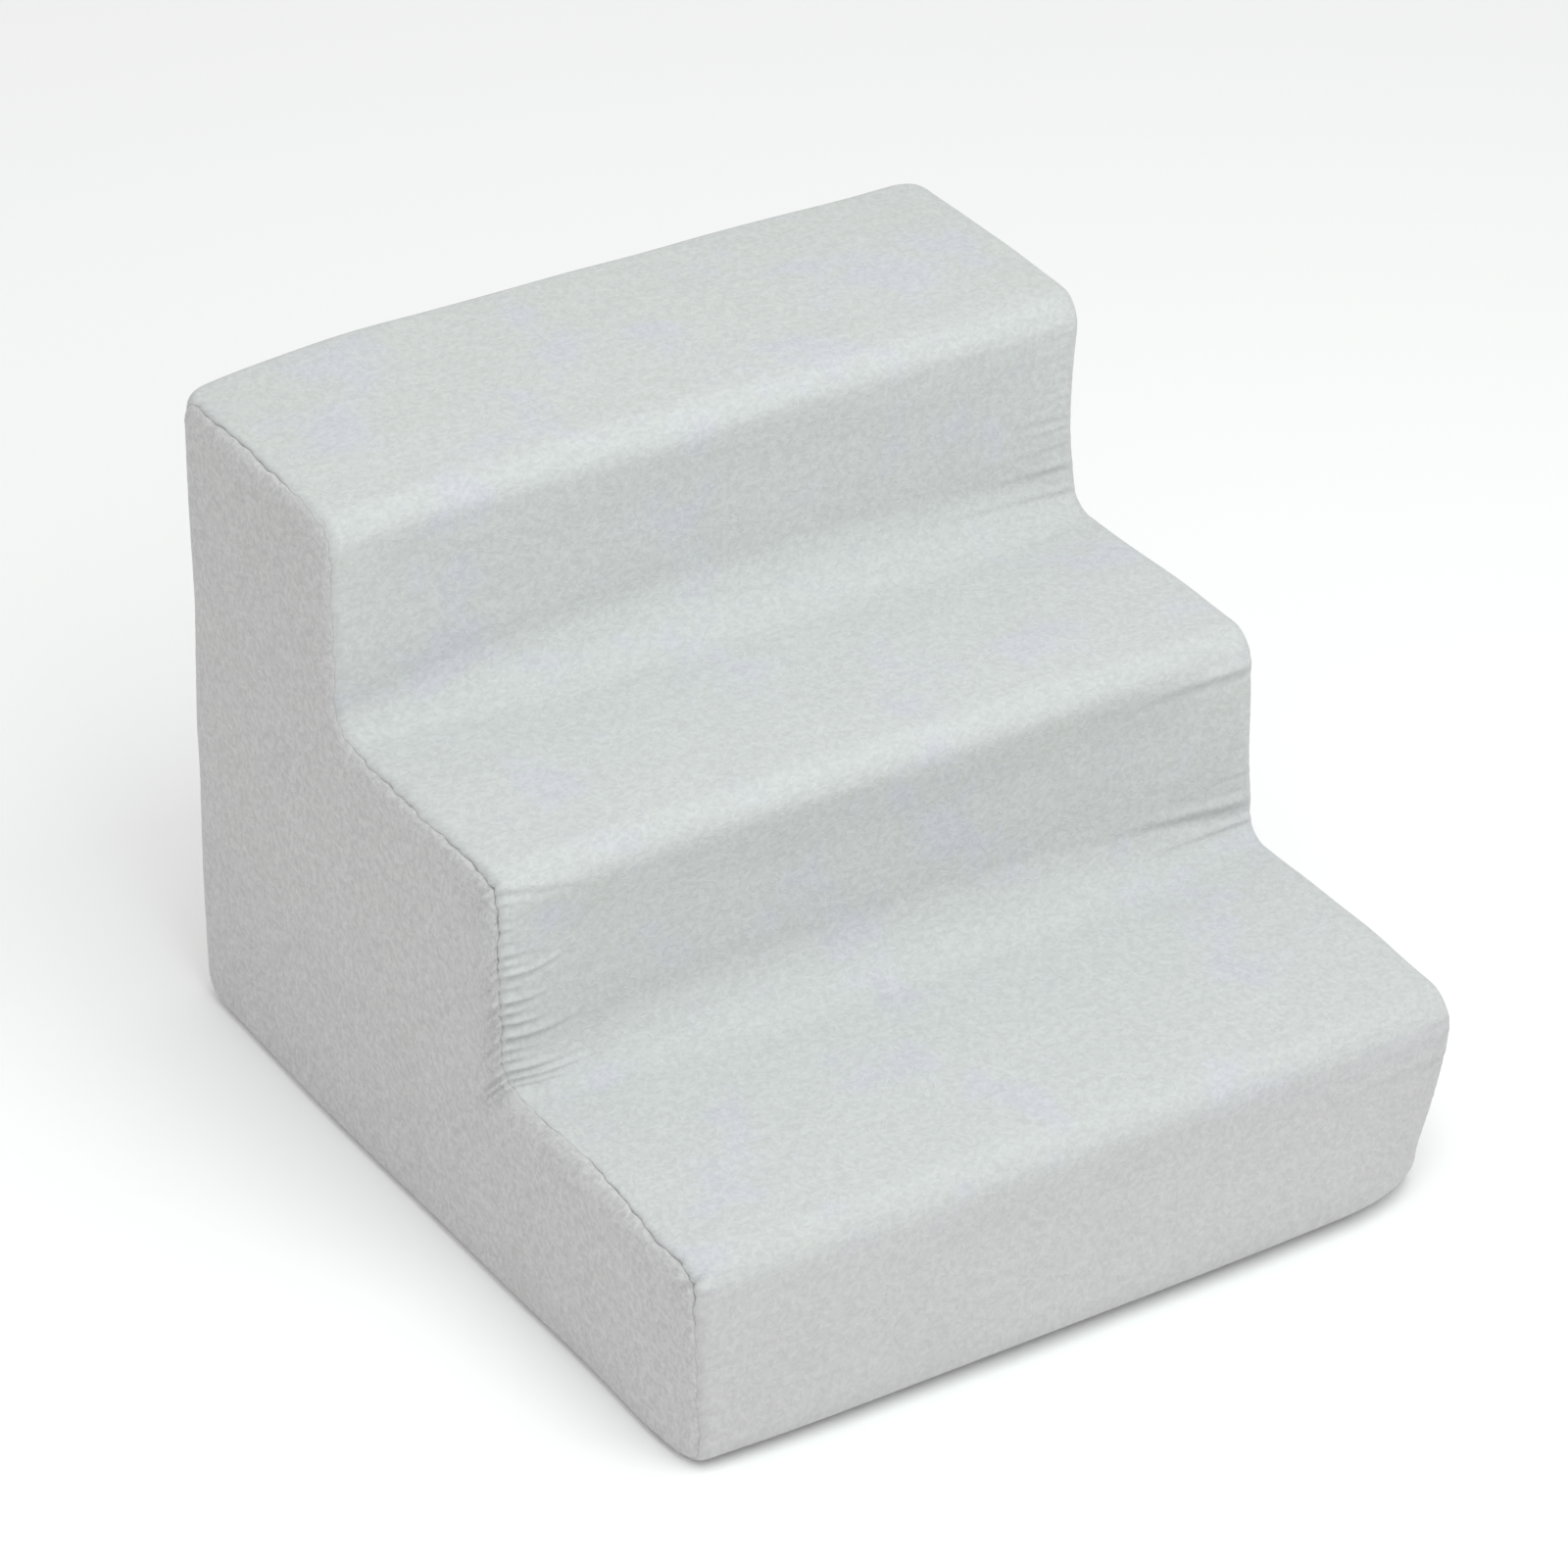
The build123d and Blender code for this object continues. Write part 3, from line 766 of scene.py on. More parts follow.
def lip(x):
    """Distance of the cloth's folded edge from the zip's centre line at x."""
    past = np.clip((np.abs(x) - WINDOW_END + WINDOW_HALF) / WINDOW_HALF, 0, 1)
    return np.maximum(0.15, WINDOW_HALF * np.sqrt(1 - past**2))


def back_place(across, z):
    """Points and outward directions of the filled form's back at each distance across and height."""
    x = x_of(across)
    past = np.maximum(0, np.abs(x) - (HALF - BACK_EDGE)) / BACK_EDGE
    normal = np.stack([np.sign(x) * past, np.sqrt(1 - past**2), 0 * x], -1)
    return np.stack([x, BACK_Y - side_drop(x, BACK_EDGE), z], -1), normal


# Columns of the back: fine at the side seams and round the ends of the zip
ZIP_PLAIN, ZIP_PAST = 150, 166
back_columns = np.concatenate([
    spread(LEFT, -ZIP_PAST, 16, 2.0), np.linspace(-ZIP_PAST, -ZIP_PLAIN, 15)[1:],
    np.linspace(-ZIP_PLAIN, ZIP_PLAIN, 81)[1:], np.linspace(ZIP_PLAIN, ZIP_PAST, 15)[1:],
    spread(RIGHT, ZIP_PAST, 18, 2.0)[::-1][1:],
])
STITCH_INSET = 3.4  # of the line of stitches from the cloth's folded edge


def back_along(across, z):
    return place_along(14.0, x_of(across).ravel()).reshape(across.shape) + BACK_SEAM - z


def back_grid(across, z, seams):
    along = back_along(across, z)
    here, normal = back_place(across + wander(across, along), z)
    height = loft_height(here[..., 0], here[..., 1], z, across, along)
    return draw_in(here + normal * (height - seams)[..., None]), np.stack([across, along], -1)


def zip_edge(gap):
    """The cloth rolls in along the zip, and its stitching draws it down beside that."""
    gap = np.abs(gap)
    stitched = 0.22 * np.exp(-(((gap - STITCH_INSET) / 1.1) ** 2))
    return 1.5 * np.exp(-((gap / 0.8) ** 1.6)) + stitched


def back_panel():
    """The panel from the back seam down to the zip."""
    near_seam, near_zip = spread(0, 0.05, 8, 1.5)[:-1], 1 - spread(0, 0.05, 13, 2.0)[::-1]
    shares = np.concatenate([near_seam, np.linspace(0.05, 0.95, 60)[:-1], near_zip])
    across = np.tile(back_columns, (len(shares), 1))
    edge = ZIP_HEIGHT + lip(x_of(across))
    z = BACK_SEAM + (edge - BACK_SEAM) * shares[:, None]
    seams = side_seams(across, back_along(across, z))
    seams = np.maximum(seams, valley(BACK_SEAM - z) * between_sides(across))
    panel = Panel()
    panel.quads(panel.patch(*back_grid(across, z, np.maximum(seams, zip_edge(z - edge)))))
    return panel.sew("cover_back_cloth")


def back_hem():
    """The strip from the zip down round the bottom edge to the base panel."""
    shares = np.concatenate([np.linspace(0, 0.6, 8)[1:], 1 - spread(0, 0.4, 11, 1.6)[::-1][1:]])
    rows = np.array(rows_between(17, 16, 1.0) + rows_between(16, 15, 1.2) + [15.0])
    low_across = np.tile(back_columns, (len(rows), 1))

    def low_seams(across, along, run):
        return np.maximum(side_seams(across, along), valley(run - BACK_EDGE_ALONG) * between_sides(across))

    low_points, low_maps = dressed(rows, low_across, low_seams)
    start = form_section(x_of(back_columns), 15.0)[0][:, 1]
    across = np.tile(back_columns, (len(shares), 1))
    edge = ZIP_HEIGHT - lip(x_of(across))
    z = start + (edge - start) * shares[:, None]
    sides = side_seams(across, back_along(across, z))
    points, maps = back_grid(across, z, np.maximum(sides, zip_edge(edge - z)))
    panel = Panel()
    index = panel.patch(np.concatenate([low_points, points]), np.concatenate([low_maps, maps]))
    panel.quads(index)
    return panel.sew("cover_back_hem_cloth", flip=True)


def fine_at_ends(start, end, border=10):
    """Places from start to end, closer together near both."""
    first, last = spread(start, start + border, 8, 1.2), spread(end, end - border, 8, 1.2)[::-1]
    return np.concatenate([first, np.linspace(start + border, end - border, 61)[1:], last[1:]])


BASE_HEIGHT = 0.35  # of the base cloth over the floor, on which its dots stand


def base_panel():
    """The anti-slip cloth under the stairs."""
    x, y = np.meshgrid(fine_at_ends(-BASE_HALF, BASE_HALF), fine_at_ends(BASE_FRONT, BASE_BACK))
    rim = np.minimum(BASE_HALF - np.abs(x), np.minimum(y - BASE_FRONT, BASE_BACK - y))
    z = BASE_HEIGHT + valley(rim)
    panel = Panel()
    panel.quads(panel.patch(np.stack([x, y, z], -1), np.stack([x, y], -1))[::-1])
    return panel.sew("cover_base_cloth")


def copies_of(name, unit_mesh, places):
    """One piece made of a mesh repeated at each place, in metres."""
    base = np.zeros(len(unit_mesh.vertices) * 3)
    unit_mesh.vertices.foreach_get("co", base)
    base = base.reshape(-1, 3)
    faces = [tuple(face.vertices) for face in unit_mesh.polygons]
    points = (np.array(places)[:, None, :] + base[None]).reshape(-1, 3)
    starts = [i * len(base) for i in range(len(places))]
    mesh = bpy.data.meshes.new(name)
    mesh.from_pydata(
        [tuple(point) for point in points], [],
        [tuple(start + v for v in face) for start in starts for face in faces],
    )
    piece = bpy.data.objects.new(name, mesh)
    bpy.context.scene.collection.objects.link(piece)
    return piece


def put_away(piece):
    """Removes a pattern piece once its copies are made."""
    mesh = piece.data
    bpy.data.objects.remove(piece)
    bpy.data.meshes.remove(mesh)


DOT_RADIUS, DOT_REACH, DOT_CUT, DOT_PITCH, DOT_BORDER = 1.5, 0.5, 0.1, 12.0, 9.0


def grip_dots():
    """Domes of silicone on the base cloth, reaching the floor."""
    clear_selection()
    bpy.ops.mesh.primitive_uv_sphere_add(segments=10, ring_count=6, radius=DOT_RADIUS * MM)
    dome = bpy.context.active_object
    bpy.ops.object.mode_set(mode="EDIT")
    bpy.ops.mesh.select_all(action="SELECT")
    bpy.ops.mesh.bisect(plane_co=(0, 0, DOT_CUT * MM), plane_no=(0, 0, 1), use_fill=True, clear_outer=True)
    bpy.ops.mesh.select_all(action="SELECT")
    bpy.ops.transform.resize(value=(1, 1, DOT_REACH / DOT_RADIUS), center_override=(0, 0, 0))
    bpy.ops.transform.translate(value=(0, 0, DOT_REACH * MM))
    bpy.ops.object.mode_set(mode="OBJECT")
    reach = int((BASE_HALF - DOT_BORDER) / DOT_PITCH)
    row_pitch = DOT_PITCH * 0.866  # rows of equal triangles
    rows = int((BASE_BACK - BASE_FRONT - 2 * DOT_BORDER) / row_pitch)
    places = []
    for i in range(rows + 1):
        y = (BASE_BACK + BASE_FRONT) / 2 + (i - rows / 2) * row_pitch
        shift = DOT_PITCH / 2 if i % 2 else 0
        for k in range(-reach, reach + (0 if i % 2 else 1)):
            places.append((MM * (k * DOT_PITCH + shift), MM * y, 0))
    piece = copies_of("base_grip_dots", dome.data, places)
    put_away(dome)
    all_smooth(piece)
    return piece


# The foam core

FOAM_INSET = 3.4  # of the foam inside the filled form
ZIP_HOLLOW = 1.2  # how far the lowest slab is pressed in behind the zip
CUT_EDGE = 0.5  # radius of an edge cut square


def foam_slab(step, radii):
    """One glued slab of foam, from its back to the riser of that step."""
    turn = [
        HALF - FOAM_INSET - (BACK_EDGE - FOAM_INSET) * (1 - sin(radians(90 * k / 8))) for k in range(9)
    ]
    xs = [-v for v in reversed(turn)] + list(np.linspace(-turn[0], turn[0], 40)[1:-1]) + turn
    xs = np.array(xs)
    points = form_corners(xs, FOAM_INSET)
    face_top = points[2 * step + 1]
    back = points[6][:, 0] - (ZIP_HOLLOW if step == 0 else 0)
    low = points[0][:, 1] if step == 0 else face_top[:, 1] - RISER
    foot = points[0][:, 0] if step == 0 else face_top[:, 0]
    outline = ((foot, low), (face_top[:, 0], face_top[:, 1]), (back, face_top[:, 1]), (back, low))
    corners = [np.stack(place, -1) for place in outline]
    rings = []
    for k in range(4):
        for f in np.linspace(0, 1, 7 if radii[k] > 2 * CUT_EDGE else 2):
            rings.append(rounded_corner(corners, radii, k, f)[0])
        start, end = rings[-1], rounded_corner(corners, radii, k + 1, 0.0)[0]
        for f in np.linspace(0, 1, 22)[1:-1]:
            rings.append(between(start, end, f))
    ring = np.array(rings)
    full = draw_in(np.concatenate([np.broadcast_to(xs, ring.shape[:2])[..., None], ring], -1))
    count, width = full.shape[:2]
    faces = []
    for i in range(count):
        for j in range(width - 1):
            a, b = i * width + j, ((i + 1) % count) * width + j
            faces.append((a, a + 1, b + 1, b))
    faces.append(tuple(i * width for i in range(count)))
    faces.append(tuple(i * width + width - 1 for i in reversed(range(count))))
    name = ("foam_base", "foam_middle", "foam_top")[step] + "_block"
    mesh = bpy.data.meshes.new(name)
    mesh.from_pydata([tuple(MM * v for v in p) for p in full.reshape(-1, 3)], [], faces)
    piece = bpy.data.objects.new(name, mesh)
    bpy.context.scene.collection.objects.link(piece)
    work = bmesh.new()
    work.from_mesh(mesh)
    bmesh.ops.recalc_face_normals(work, faces=work.faces)
    work.to_mesh(mesh)
    work.free()
    clear_selection()
    piece.select_set(True)
    bpy.context.view_layer.objects.active = piece
    bpy.ops.object.shade_smooth_by_angle(angle=radians(40))
    return piece


# The zip

TOOTH_COUNT, TOOTH_PITCH = 100, 3.0
TOOTH_THICKNESS, TOOTH_BEVEL = 2.6, 0.16
TOOTH_ROOT, TOOTH_HEAD, TOOTH_TIP = 0.95, 1.35, 0.9  # widths at the tape, at the centre line and at the tip
TOOTH_REACH, TOOTH_OVERLAP = 3.0, 0.9  # from the centre line, towards the tape and past the other row
TAPE_EDGE, TAPE_HALF, TAPE_END = 1.9, 14.0, 166.0
TAPE_THICKNESS = 0.6
TAPE_WALL, TAPE_SINK = 0.46, 0.12  # its visible wall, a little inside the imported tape
RIB_HEIGHT, RIB_REACH = 0.05, 3.0  # of the ribs that the teeth press into the tape


def zip_tape(side):
    """One woven tape, with ribs pressed in by the teeth along its gripped edge; the cord woven in there is
    not modelled.
    """
    us = np.linspace(-TAPE_END, TAPE_END, 167)
    vs = np.concatenate([spread(TAPE_EDGE, TAPE_EDGE + 1.2, 5), spread(TAPE_EDGE + 1.2, TAPE_HALF, 14)[1:]])
    u, v = np.meshgrid(us, vs)
    ribs = RIB_HEIGHT * np.sin(2 * pi * u / TOOTH_PITCH) * np.exp(-(((v - TAPE_EDGE) / RIB_REACH) ** 2))
    y = ZIP_Y + TAPE_THICKNESS / 2 - TAPE_SINK + ribs
    panel = Panel()
    index = panel.patch(np.stack([u, y, ZIP_HEIGHT + side * v], -1), np.stack([u, v], -1))
    panel.quads(index)
    name = "zip_upper_tape_cloth" if side > 0 else "zip_lower_tape_cloth"
    return panel.sew(name, thickness=TAPE_WALL, flip=side > 0)


def choose_edges(piece, wanted):
    """Selects, in edit mode, the edges of a piece whose two ends, in millimetres, are the wanted ones."""
    bpy.ops.mesh.select_mode(type="EDGE")
    bpy.ops.mesh.select_all(action="DESELECT")
    work = bmesh.from_edit_mesh(piece.data)
    for edge in work.edges:
        if wanted(edge.verts[0].co / MM, edge.verts[1].co / MM):
            edge.select_set(True)
    bmesh.update_edit_mesh(piece.data)


def tooth(side):
    """One moulded tooth: widest at the centre line, narrower at its root and tip."""
    middle = (0, 0, 0)
    height = TOOTH_REACH + TOOTH_OVERLAP
    clear_selection()
    bpy.ops.mesh.primitive_cube_add(size=MM)
    piece = bpy.context.active_object
    bpy.ops.object.mode_set(mode="EDIT")
    bpy.ops.mesh.select_all(action="SELECT")
    bpy.ops.transform.resize(value=(TOOTH_HEAD, TOOTH_THICKNESS, height), center_override=middle)
    bpy.ops.transform.translate(value=(0, 0, MM * (TOOTH_REACH - height / 2)))
    bpy.ops.mesh.bisect(plane_co=middle, plane_no=(0, 0, 1))
    # the cut's edges on the two flat ends go, and those on its flanks stay
    choose_edges(piece, lambda a, b: abs(a.z) + abs(b.z) < 0.01 and abs(a.x - b.x) > 0.1)
    bpy.ops.mesh.dissolve_edges(use_verts=False)
    for z, width in ((TOOTH_REACH, TOOTH_ROOT), (-TOOTH_OVERLAP, TOOTH_TIP)):
        choose_edges(piece, lambda a, b: abs(a.z - z) + abs(b.z - z) < 0.01)
        bpy.ops.transform.resize(value=(width / TOOTH_HEAD, 1, 1), center_override=middle)
    bpy.ops.mesh.select_all(action="SELECT")
    bpy.ops.mesh.bevel(offset=MM * TOOTH_BEVEL, segments=1, affect="EDGES", loop_slide=False)
    if side < 0:
        bpy.ops.transform.rotate(value=pi, orient_axis="X", center_override=middle)
    bpy.ops.object.mode_set(mode="OBJECT")
    return piece


def zip_teeth(side):
    """One row of moulded teeth, copied from a single one."""
    pattern = tooth(side)
    first = -TOOTH_PITCH * (TOOTH_COUNT - 1) / 2 - side * TOOTH_PITCH / 4
    row = [first + TOOTH_PITCH * i for i in range(TOOTH_COUNT)]
    places = [(MM * x, MM * ZIP_Y, MM * ZIP_HEIGHT) for x in row]
    name = "zip_upper_teeth_moulded" if side > 0 else "zip_lower_teeth_moulded"
    piece = copies_of(name, pattern.data, places)
    put_away(pattern)
    return piece


STITCH_LENGTH, STITCH_PITCH, STITCH_THICK, STITCH_WIDE = 2.5, 3.3, 0.3, 0.39
STITCH_END = 8.0  # of each line of stitches before the window's end


def zip_stitching():
    """The line of stitches beside each lip of the zip."""
    clear_selection()
    bpy.ops.mesh.primitive_uv_sphere_add(segments=6, ring_count=5, radius=MM / 2, rotation=(0, pi / 2, 0))
    stitch = bpy.context.active_object
    bpy.ops.object.transform_apply(location=False, rotation=True, scale=True)
    bpy.ops.object.mode_set(mode="EDIT")
    bpy.ops.mesh.select_all(action="SELECT")
    bpy.ops.transform.resize(
        value=(STITCH_LENGTH, STITCH_THICK, STITCH_WIDE), center_override=(0, 0, 0),
    )
    bpy.ops.object.mode_set(mode="OBJECT")
    places = []
    for side in (-1, 1):
        for x in np.arange(STITCH_END - WINDOW_END, WINDOW_END - STITCH_END + 0.1, STITCH_PITCH):
            z = np.array([ZIP_HEIGHT + side * (WINDOW_HALF + STITCH_INSET)])
            place = back_grid(np.array([x]), z, zip_edge(np.array([STITCH_INSET])))[0][0]
            places.append(tuple(MM * v for v in place))
    piece = copies_of("zip_stitching", stitch.data, places)
    put_away(stitch)
    all_smooth(piece)
    return piece


back = back_panel()
hem = back_hem()
base = base_panel()
dots = grip_dots()
slabs = [
    foam_slab(0, (FOOT - FOAM_INSET, NOSING - FOAM_INSET, CUT_EDGE, BOTTOM_BACK - FOAM_INSET)),
    foam_slab(1, (CUT_EDGE, NOSING - FOAM_INSET, CUT_EDGE, CUT_EDGE)),
    foam_slab(2, (CUT_EDGE, NOSING - FOAM_INSET, TOP_BACK - FOAM_INSET, CUT_EDGE)),
]
tapes = {1: zip_tape(1), -1: zip_tape(-1)}
teeth = {1: zip_teeth(1), -1: zip_teeth(-1)}
stitches = zip_stitching()


# Materials

FIBRE_ANGLES = (12, 50, 84, 117, 158)
FIBRE_LENGTH, FIBRE_WIDTH = 5.5, 2.0  # in millimetres; coarser than the real fibres, so that they show
FIBRE_LIGHT, FIBRE_DARK = (0.66, 0.84), (0.34, 0.16)  # noise from which a fibre shows, and is full
FIBRE_RELIEF = 0.25  # in millimetres
SLUB_LENGTH, SLUB_WIDTH = 45, 2.4  # of the thicker weft yarns, which run across the stairs
CLOUD_SIZE, TINT_SIZE = 30, 52  # of the nap's cloudy patches, and of those in the dye
LINEN_GREEN, LINEN_BLUE = "#bec0bf", "#bebec4"
TINT_STOPS = (0.54, 0.68)  # from green to blue
PAINTED_WARM_SHADE = "#bcbabb"  # painted warm shade near the floor and on the sides: the floor's bounce low down, and the sides' turn from the lamps
PAINTED_SHADE_TOP, PAINTED_SHADE_FULL = 104, 72  # heights where the painted warm shade sets in, and where it is full
CLOUD_CONTRAST, FIBRE_CONTRAST, SLUB_CONTRAST = 0.1, 0.06, 0.05
GRAIN_SIZE, GRAIN_RELIEF = 2, 0.2  # of the plain materials, coarse enough to show from near


def colour(code):
    """An sRGB hex value as linear RGBA."""
    parts = [int(code[i:i + 2], 16) / 255 for i in (1, 3, 5)]
    return [v / 12.92 if v <= 0.04045 else ((v + 0.055) / 1.055) ** 2.4 for v in parts] + [1.0]


def add_node(tree, kind, settings, links=None):
    """Adds a node with its settings, and links each of its inputs to the output that feeds it."""
    node = tree.nodes.new(kind)
    for key, value in settings.items():
        if isinstance(key, str) and hasattr(node, key):
            setattr(node, key, value)
        else:
            node.inputs[key].default_value = value
    for key, source in (links or {}).items():
        tree.links.new(source, node.inputs[key])
    return node


def new_material(name):
    material = bpy.data.materials.new(name)
    material.use_nodes = True
    tree = material.node_tree
    return material, tree, tree.nodes["Principled BSDF"]


def brushed_linen(name, nap_and_grazing_light, painted_side_shade):
    """Brushed linen-cotton cloth: matt, with short fibres lying all ways and soft cloudy patches.

    Its fibres and clouds stand out more the higher its nap setting; the sides get a higher one, as painted
    grazing light.
    The side-shade share is how much of the painted warm shade lies well above the floor; the sides get it
    as painted shade.
    """
    material, tree, shader = new_material(name)
    noise, mapping, sums = "ShaderNodeTexNoise", "ShaderNodeMapping", "ShaderNodeMath"
    place = add_node(tree, "ShaderNodeUVMap", {"uv_map": "cloth"}).outputs["UV"]
    flat, soft = {"noise_dimensions": "2D"}, {"interpolation_type": "SMOOTHSTEP"}

    # fibres: in each direction, narrow flecks a few millimetres long that stand out light or dark
    light = dark = None
    for angle in FIBRE_ANGLES:
        turn = {"vector_type": "TEXTURE", "Rotation": (0, 0, radians(angle))}
        turn["Location"] = (MM * angle, 0, 0)
        turn["Scale"] = (MM * FIBRE_LENGTH, MM * FIBRE_WIDTH, 1)
        turned = add_node(tree, mapping, turn, {"Vector": place}).outputs[0]
        flecks = add_node(tree, noise, {**flat, "Scale": 1.0, "Detail": 0.0}, {"Vector": turned}).outputs[0]
        if light is None:
            light = dark = flecks
            continue
        light = add_node(tree, sums, {"operation": "MAXIMUM"}, {0: light, 1: flecks}).outputs[0]
        dark = add_node(tree, sums, {"operation": "MINIMUM"}, {0: dark, 1: flecks}).outputs[0]
    shown = []
    for level, (start, end) in ((light, FIBRE_LIGHT), (dark, FIBRE_DARK)):
        window = {**soft, "From Min": start, "From Max": end}
        shown.append(add_node(tree, "ShaderNodeMapRange", window, {"Value": level}).outputs[0])
    fibres = add_node(tree, sums, {"operation": "SUBTRACT"}, {0: shown[0], 1: shown[1]}).outputs[0]

    # clouds where the nap lies another way, and thicker yarns
    cloud = {**flat, "Scale": 1 / (MM * CLOUD_SIZE), "Detail": 4.5, "Roughness": 0.95}
    cloud = add_node(tree, noise, cloud, {"Vector": place}).outputs[0]
    along_weft = {"vector_type": "TEXTURE", "Scale": (MM * SLUB_LENGTH, MM * SLUB_WIDTH, 1)}
    along_weft = add_node(tree, mapping, along_weft, {"Vector": place}).outputs[0]
    slubs = add_node(tree, noise, {**flat, "Scale": 1.0, "Detail": 1.0}, {"Vector": along_weft}).outputs[0]
    # painted grazing light: the sides' higher nap setting strengthens the clouds and flecks
    lift = 1 - nap_and_grazing_light * CLOUD_CONTRAST / 2
    added = {"operation": "MULTIPLY_ADD"}
    amount = add_node(tree, sums, {**added, 1: nap_and_grazing_light * CLOUD_CONTRAST, 2: lift}, {0: cloud}).outputs[0]
    amount = add_node(tree, sums, {**added, 1: nap_and_grazing_light * FIBRE_CONTRAST}, {0: fibres, 2: amount}).outputs[0]
    amount = add_node(tree, sums, {**added, 1: SLUB_CONTRAST}, {0: slubs, 2: amount}).outputs[0]

    # the dye: faintly green and blue in patches; then the painted warm shade, greyer low down for the
    # floor's bounce and on the sides for their turn from the lamps
    tint = {**flat, "Scale": 1 / (MM * TINT_SIZE), "Detail": 4.0, "Roughness": 0.6}
    tint = add_node(tree, noise, tint, {"Vector": place}).outputs[0]
    tone = add_node(tree, "ShaderNodeValToRGB", {}, {"Fac": tint})
    for stop, position, code in zip(tone.color_ramp.elements, TINT_STOPS, (LINEN_GREEN, LINEN_BLUE)):
        stop.position, stop.color = position, colour(code)
    on_piece = add_node(tree, "ShaderNodeTexCoord", {}).outputs["Object"]
    height = add_node(tree, "ShaderNodeSeparateXYZ", {}, {0: on_piece}).outputs["Z"]
    # painted warm shade: full below the lower height, and above the higher one only the share given for the
    # sides
    low = {**soft, "From Min": MM * PAINTED_SHADE_TOP, "From Max": MM * PAINTED_SHADE_FULL, "To Min": painted_side_shade, "To Max": 1.0}
    low = add_node(tree, "ShaderNodeMapRange", low, {"Value": height}).outputs[0]
    dye_and_painted_shade = {"data_type": "RGBA", 7: colour(PAINTED_WARM_SHADE)}
    dye_and_painted_shade = add_node(tree, "ShaderNodeMix", dye_and_painted_shade, {0: low, 6: tone.outputs["Color"]}).outputs[2]
    shade = add_node(tree, "ShaderNodeVectorMath", {"operation": "SCALE"}, {0: dye_and_painted_shade, "Scale": amount})
    tree.links.new(shade.outputs["Vector"], shader.inputs["Base Color"])

    bump = {"Strength": 0.28, "Distance": MM * FIBRE_RELIEF}
    bump = add_node(tree, "ShaderNodeBump", bump, {"Height": fibres})
    tree.links.new(bump.outputs["Normal"], shader.inputs["Normal"])
    shader.inputs["Roughness"].default_value = 0.92
    shader.inputs["Sheen Weight"].default_value = 0.15
    shader.inputs["Sheen Roughness"].default_value = 0.5
    return material


def plain(name, code, rough):
    """An even colour with a very fine grain."""
    material, tree, shader = new_material(name)
    place = add_node(tree, "ShaderNodeTexCoord", {}).outputs["Object"]
    grain = {"Scale": 1 / (MM * GRAIN_SIZE), "Detail": 3.0}
    grain = add_node(tree, "ShaderNodeTexNoise", grain, {"Vector": place}).outputs["Fac"]
    bump = {"Strength": 0.1, "Distance": MM * GRAIN_RELIEF}
    bump = add_node(tree, "ShaderNodeBump", bump, {"Height": grain})
    tree.links.new(bump.outputs["Normal"], shader.inputs["Normal"])
    shader.inputs["Base Color"].default_value = colour(code)
    shader.inputs["Roughness"].default_value = rough
    return material


# On the treads and the back the cloth shows its plain grain, with the painted warm shade only low down.
linen = brushed_linen("brushed_linen_cotton", nap_and_grazing_light=1.0, painted_side_shade=0.0)
# On the sides it is painted greyer and warmer all over as painted shade, and its flecks and clouds are
# stronger as painted grazing light.
shaded_side_linen = brushed_linen("brushed_linen_cotton_with_painted_side_shade", nap_and_grazing_light=1.7, painted_side_shade=0.8)
# Woven polyester, a dull mid grey that shows only at the bottom edge.
anti_slip = plain("anti_slip_polyester", "#8b8e90", rough=0.9)
# Printed in drops that set smooth, with a soft shine.
silicone = plain("clear_silicone", "#9b9ea0", rough=0.35)
# Open cells, cut by a hot wire: cream white and quite matt.
foam_material = plain("polyurethane_foam", "#efece0", rough=0.95)
# A tight weave, matt and a little paler than the cloth.
tape_material = plain("woven_polyester_tape", "#c9cccb", rough=0.85)
# Straight from the mould, with a soft shine on each tooth.
acetal = plain("moulded_acetal", "#cfd2d1", rough=0.4)
# Die-cast and baked in enamel: one even grey with a soft gloss, and no bare metal.
enamel = plain("enamelled_zinc", "#b9bcbd", rough=0.35)
# Spun and twisted, as matt as the cloth.
thread = plain("polyester_thread", "#c4c6c4", rough=0.8)


def dress(piece, material, slot, *replaced):
    """Gives a piece its material and its place on the stairs, and hides the imported parts it replaces. The
    slot is not used.
    """
    piece.data.materials.clear()
    piece.data.materials.append(material)
    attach(piece, "stairs")
    if replaced:
        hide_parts(*replaced)


dress(strip, linen, "cover_fabric", "cover_steps")
dress(left_side, shaded_side_linen, "cover_fabric", "cover_left_side")
# a side panel is cut from a piece of 430 by 310 mm
dress(right_side, shaded_side_linen, "cover_fabric", "cover_right_side")
dress(back, linen, "cover_fabric", "cover_back")
dress(hem, linen, "cover_fabric", "cover_back_hem")
dress(base, anti_slip, "anti_slip_fabric", "cover_base")
dress(dots, silicone, "anti_slip_fabric")
for slab, node in zip(slabs, ("foam_base", "foam_middle", "foam_top")):
    dress(slab, foam_material, "foam", node)
for side, word in ((1, "upper"), (-1, "lower")):
    dress(tapes[side], tape_material, "zip_tape", f"zip_{word}_tape")
    dress(teeth[side], acetal, "zip_teeth", f"zip_{word}_teeth")
dress(stitches, thread, "cover_fabric")
for name in ("zip_top_stops", "zip_bottom_stop", "zip_slider", "zip_pull"):
    nodes[name].data.materials.clear()
    nodes[name].data.materials.append(acetal if name.endswith(("stop", "stops")) else enamel)


# Floor, light and camera

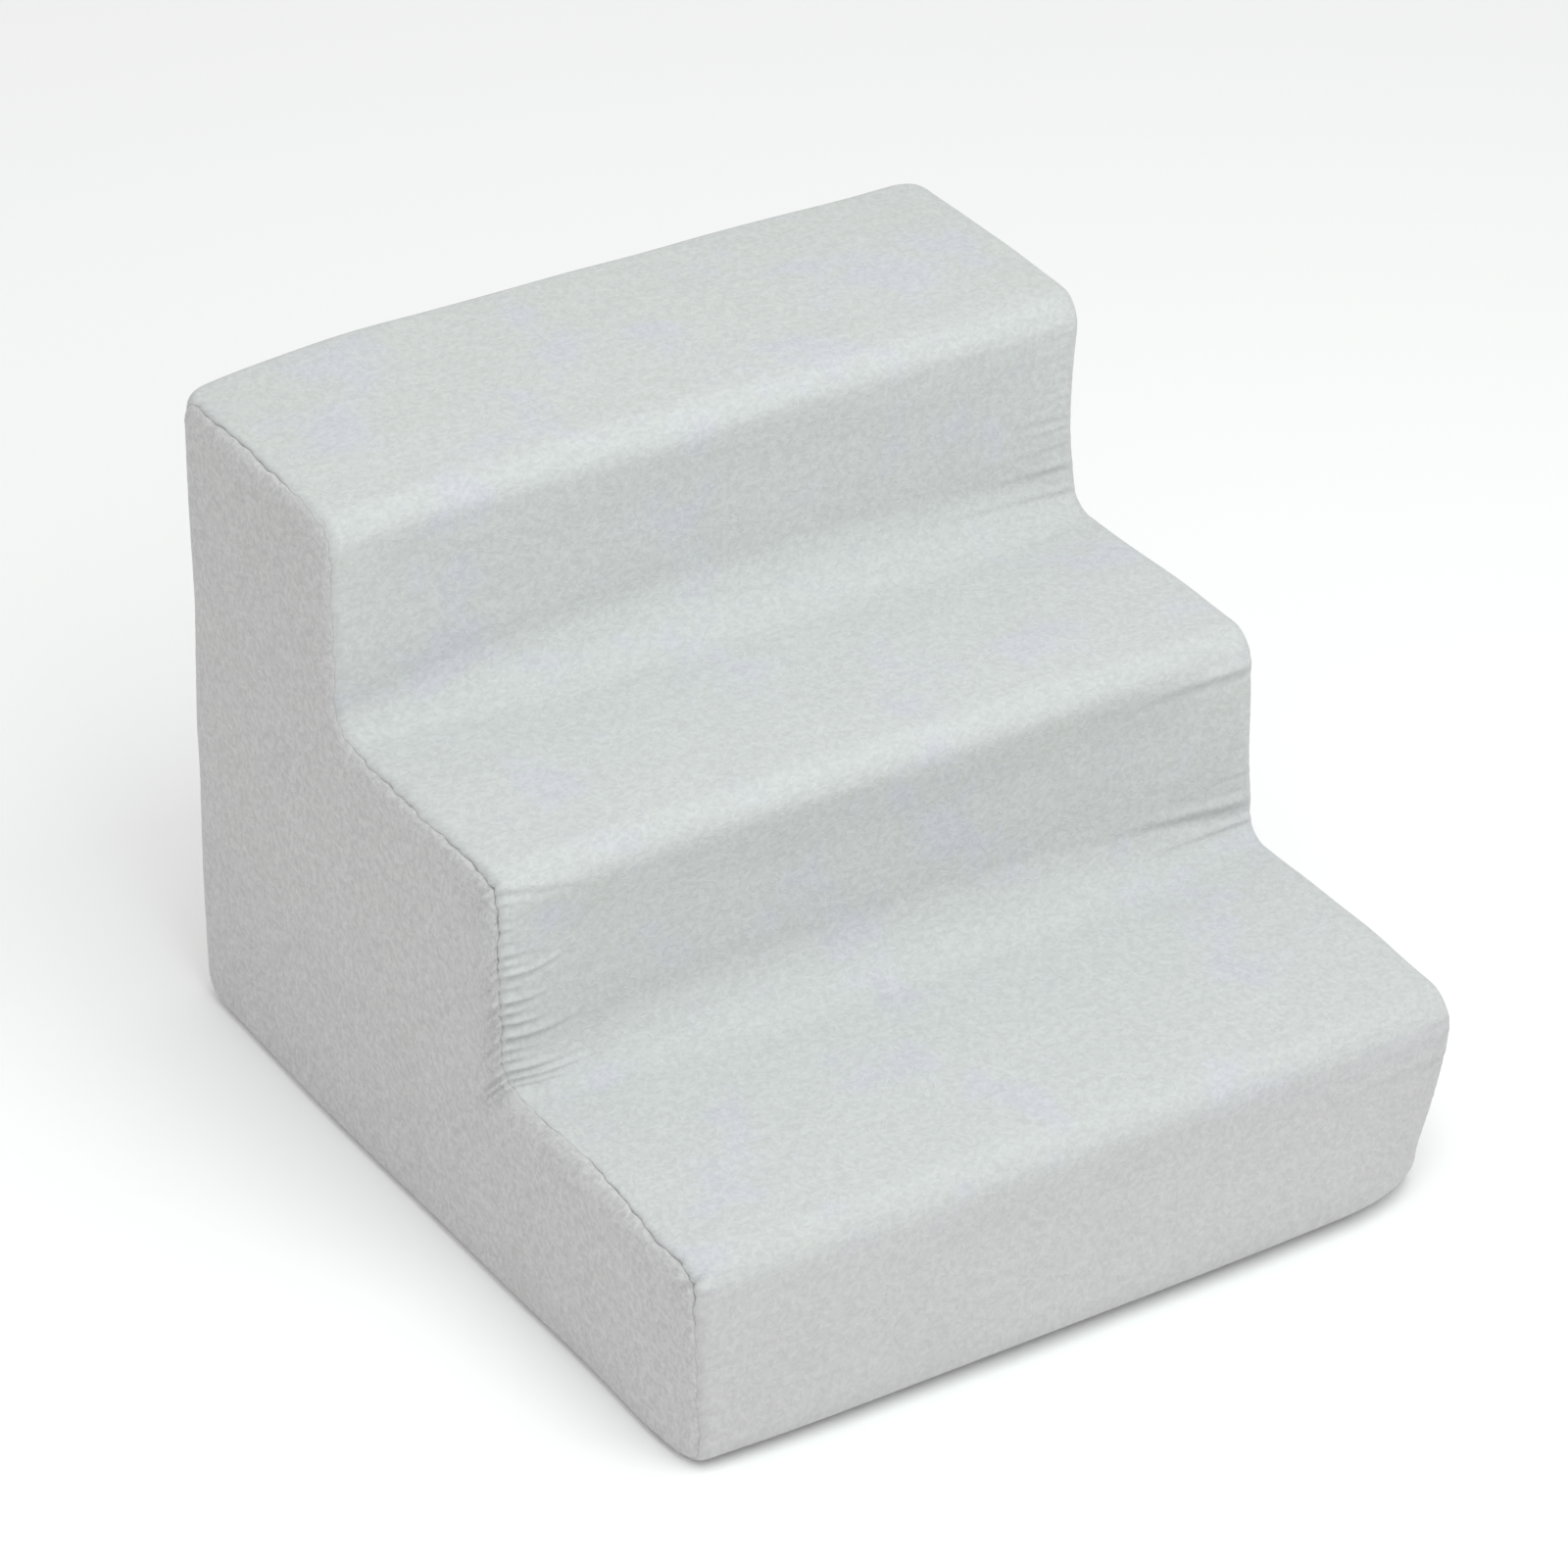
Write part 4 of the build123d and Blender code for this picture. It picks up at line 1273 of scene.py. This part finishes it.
FLOOR_SIZE = 12
SKY_COLOUR, SKY_STRENGTH = (1, 0.995, 0.99, 1), 0.76
LAMP_TINT = (0.91, 1.0, 0.975)  # a little cooler than white, as in the photograph

clear_selection()
bpy.ops.mesh.primitive_plane_add(size=FLOOR_SIZE)
floor = bpy.context.active_object
floor.name = "floor"
floor.data.materials.append(plain("matt_paper", "#fcfcfc", rough=0.95))

world = bpy.data.worlds.new("studio")
world.use_nodes = True
sky = world.node_tree.nodes["Background"]
sky.inputs["Color"].default_value = SKY_COLOUR
sky.inputs["Strength"].default_value = SKY_STRENGTH
bpy.context.scene.world = world


def softbox(name, place, aim, size, power, tint):
    light = bpy.data.lights.new(name, "AREA")
    light.shape, light.size, light.energy, light.color = "SQUARE", size, power, tint
    lamp = bpy.data.objects.new(name, light)
    lamp.location = place
    lamp.rotation_euler = (Vector(aim) - Vector(place)).to_track_quat("-Z", "Y").to_euler()
    bpy.context.scene.collection.objects.link(lamp)


softbox("overhead", (-0.1, -0.4, 2.4), aim=(0, 0, 0.1), size=1.6, power=8.0, tint=LAMP_TINT)
softbox("front", (0, -0.6, 1.1), aim=(0, 0.05, 0.2), size=0.9, power=6.1, tint=LAMP_TINT)
bpy.context.scene.view_settings.view_transform = "Standard"

# The camera, fitted to the outline of the stairs in the photograph
VIEW_TURN, VIEW_TILT, VIEW_DISTANCE = radians(31.98), radians(32.18), 2.91193
AIM = Vector((0, 0, 0.15))
lens = bpy.data.cameras.new("photo")
lens.sensor_width, lens.lens = 36.0, 158.79
lens.shift_x, lens.shift_y = -0.01698, 0.00586
camera = bpy.data.objects.new("photo", lens)
looking = Vector((sin(VIEW_TURN) * cos(VIEW_TILT), cos(VIEW_TURN) * cos(VIEW_TILT), -sin(VIEW_TILT)))
camera.location = AIM - VIEW_DISTANCE * looking
camera.rotation_euler = (pi / 2 - VIEW_TILT, 0, -VIEW_TURN)
bpy.context.scene.collection.objects.link(camera)
bpy.context.scene.camera = camera

bpy.context.view_layer.update()
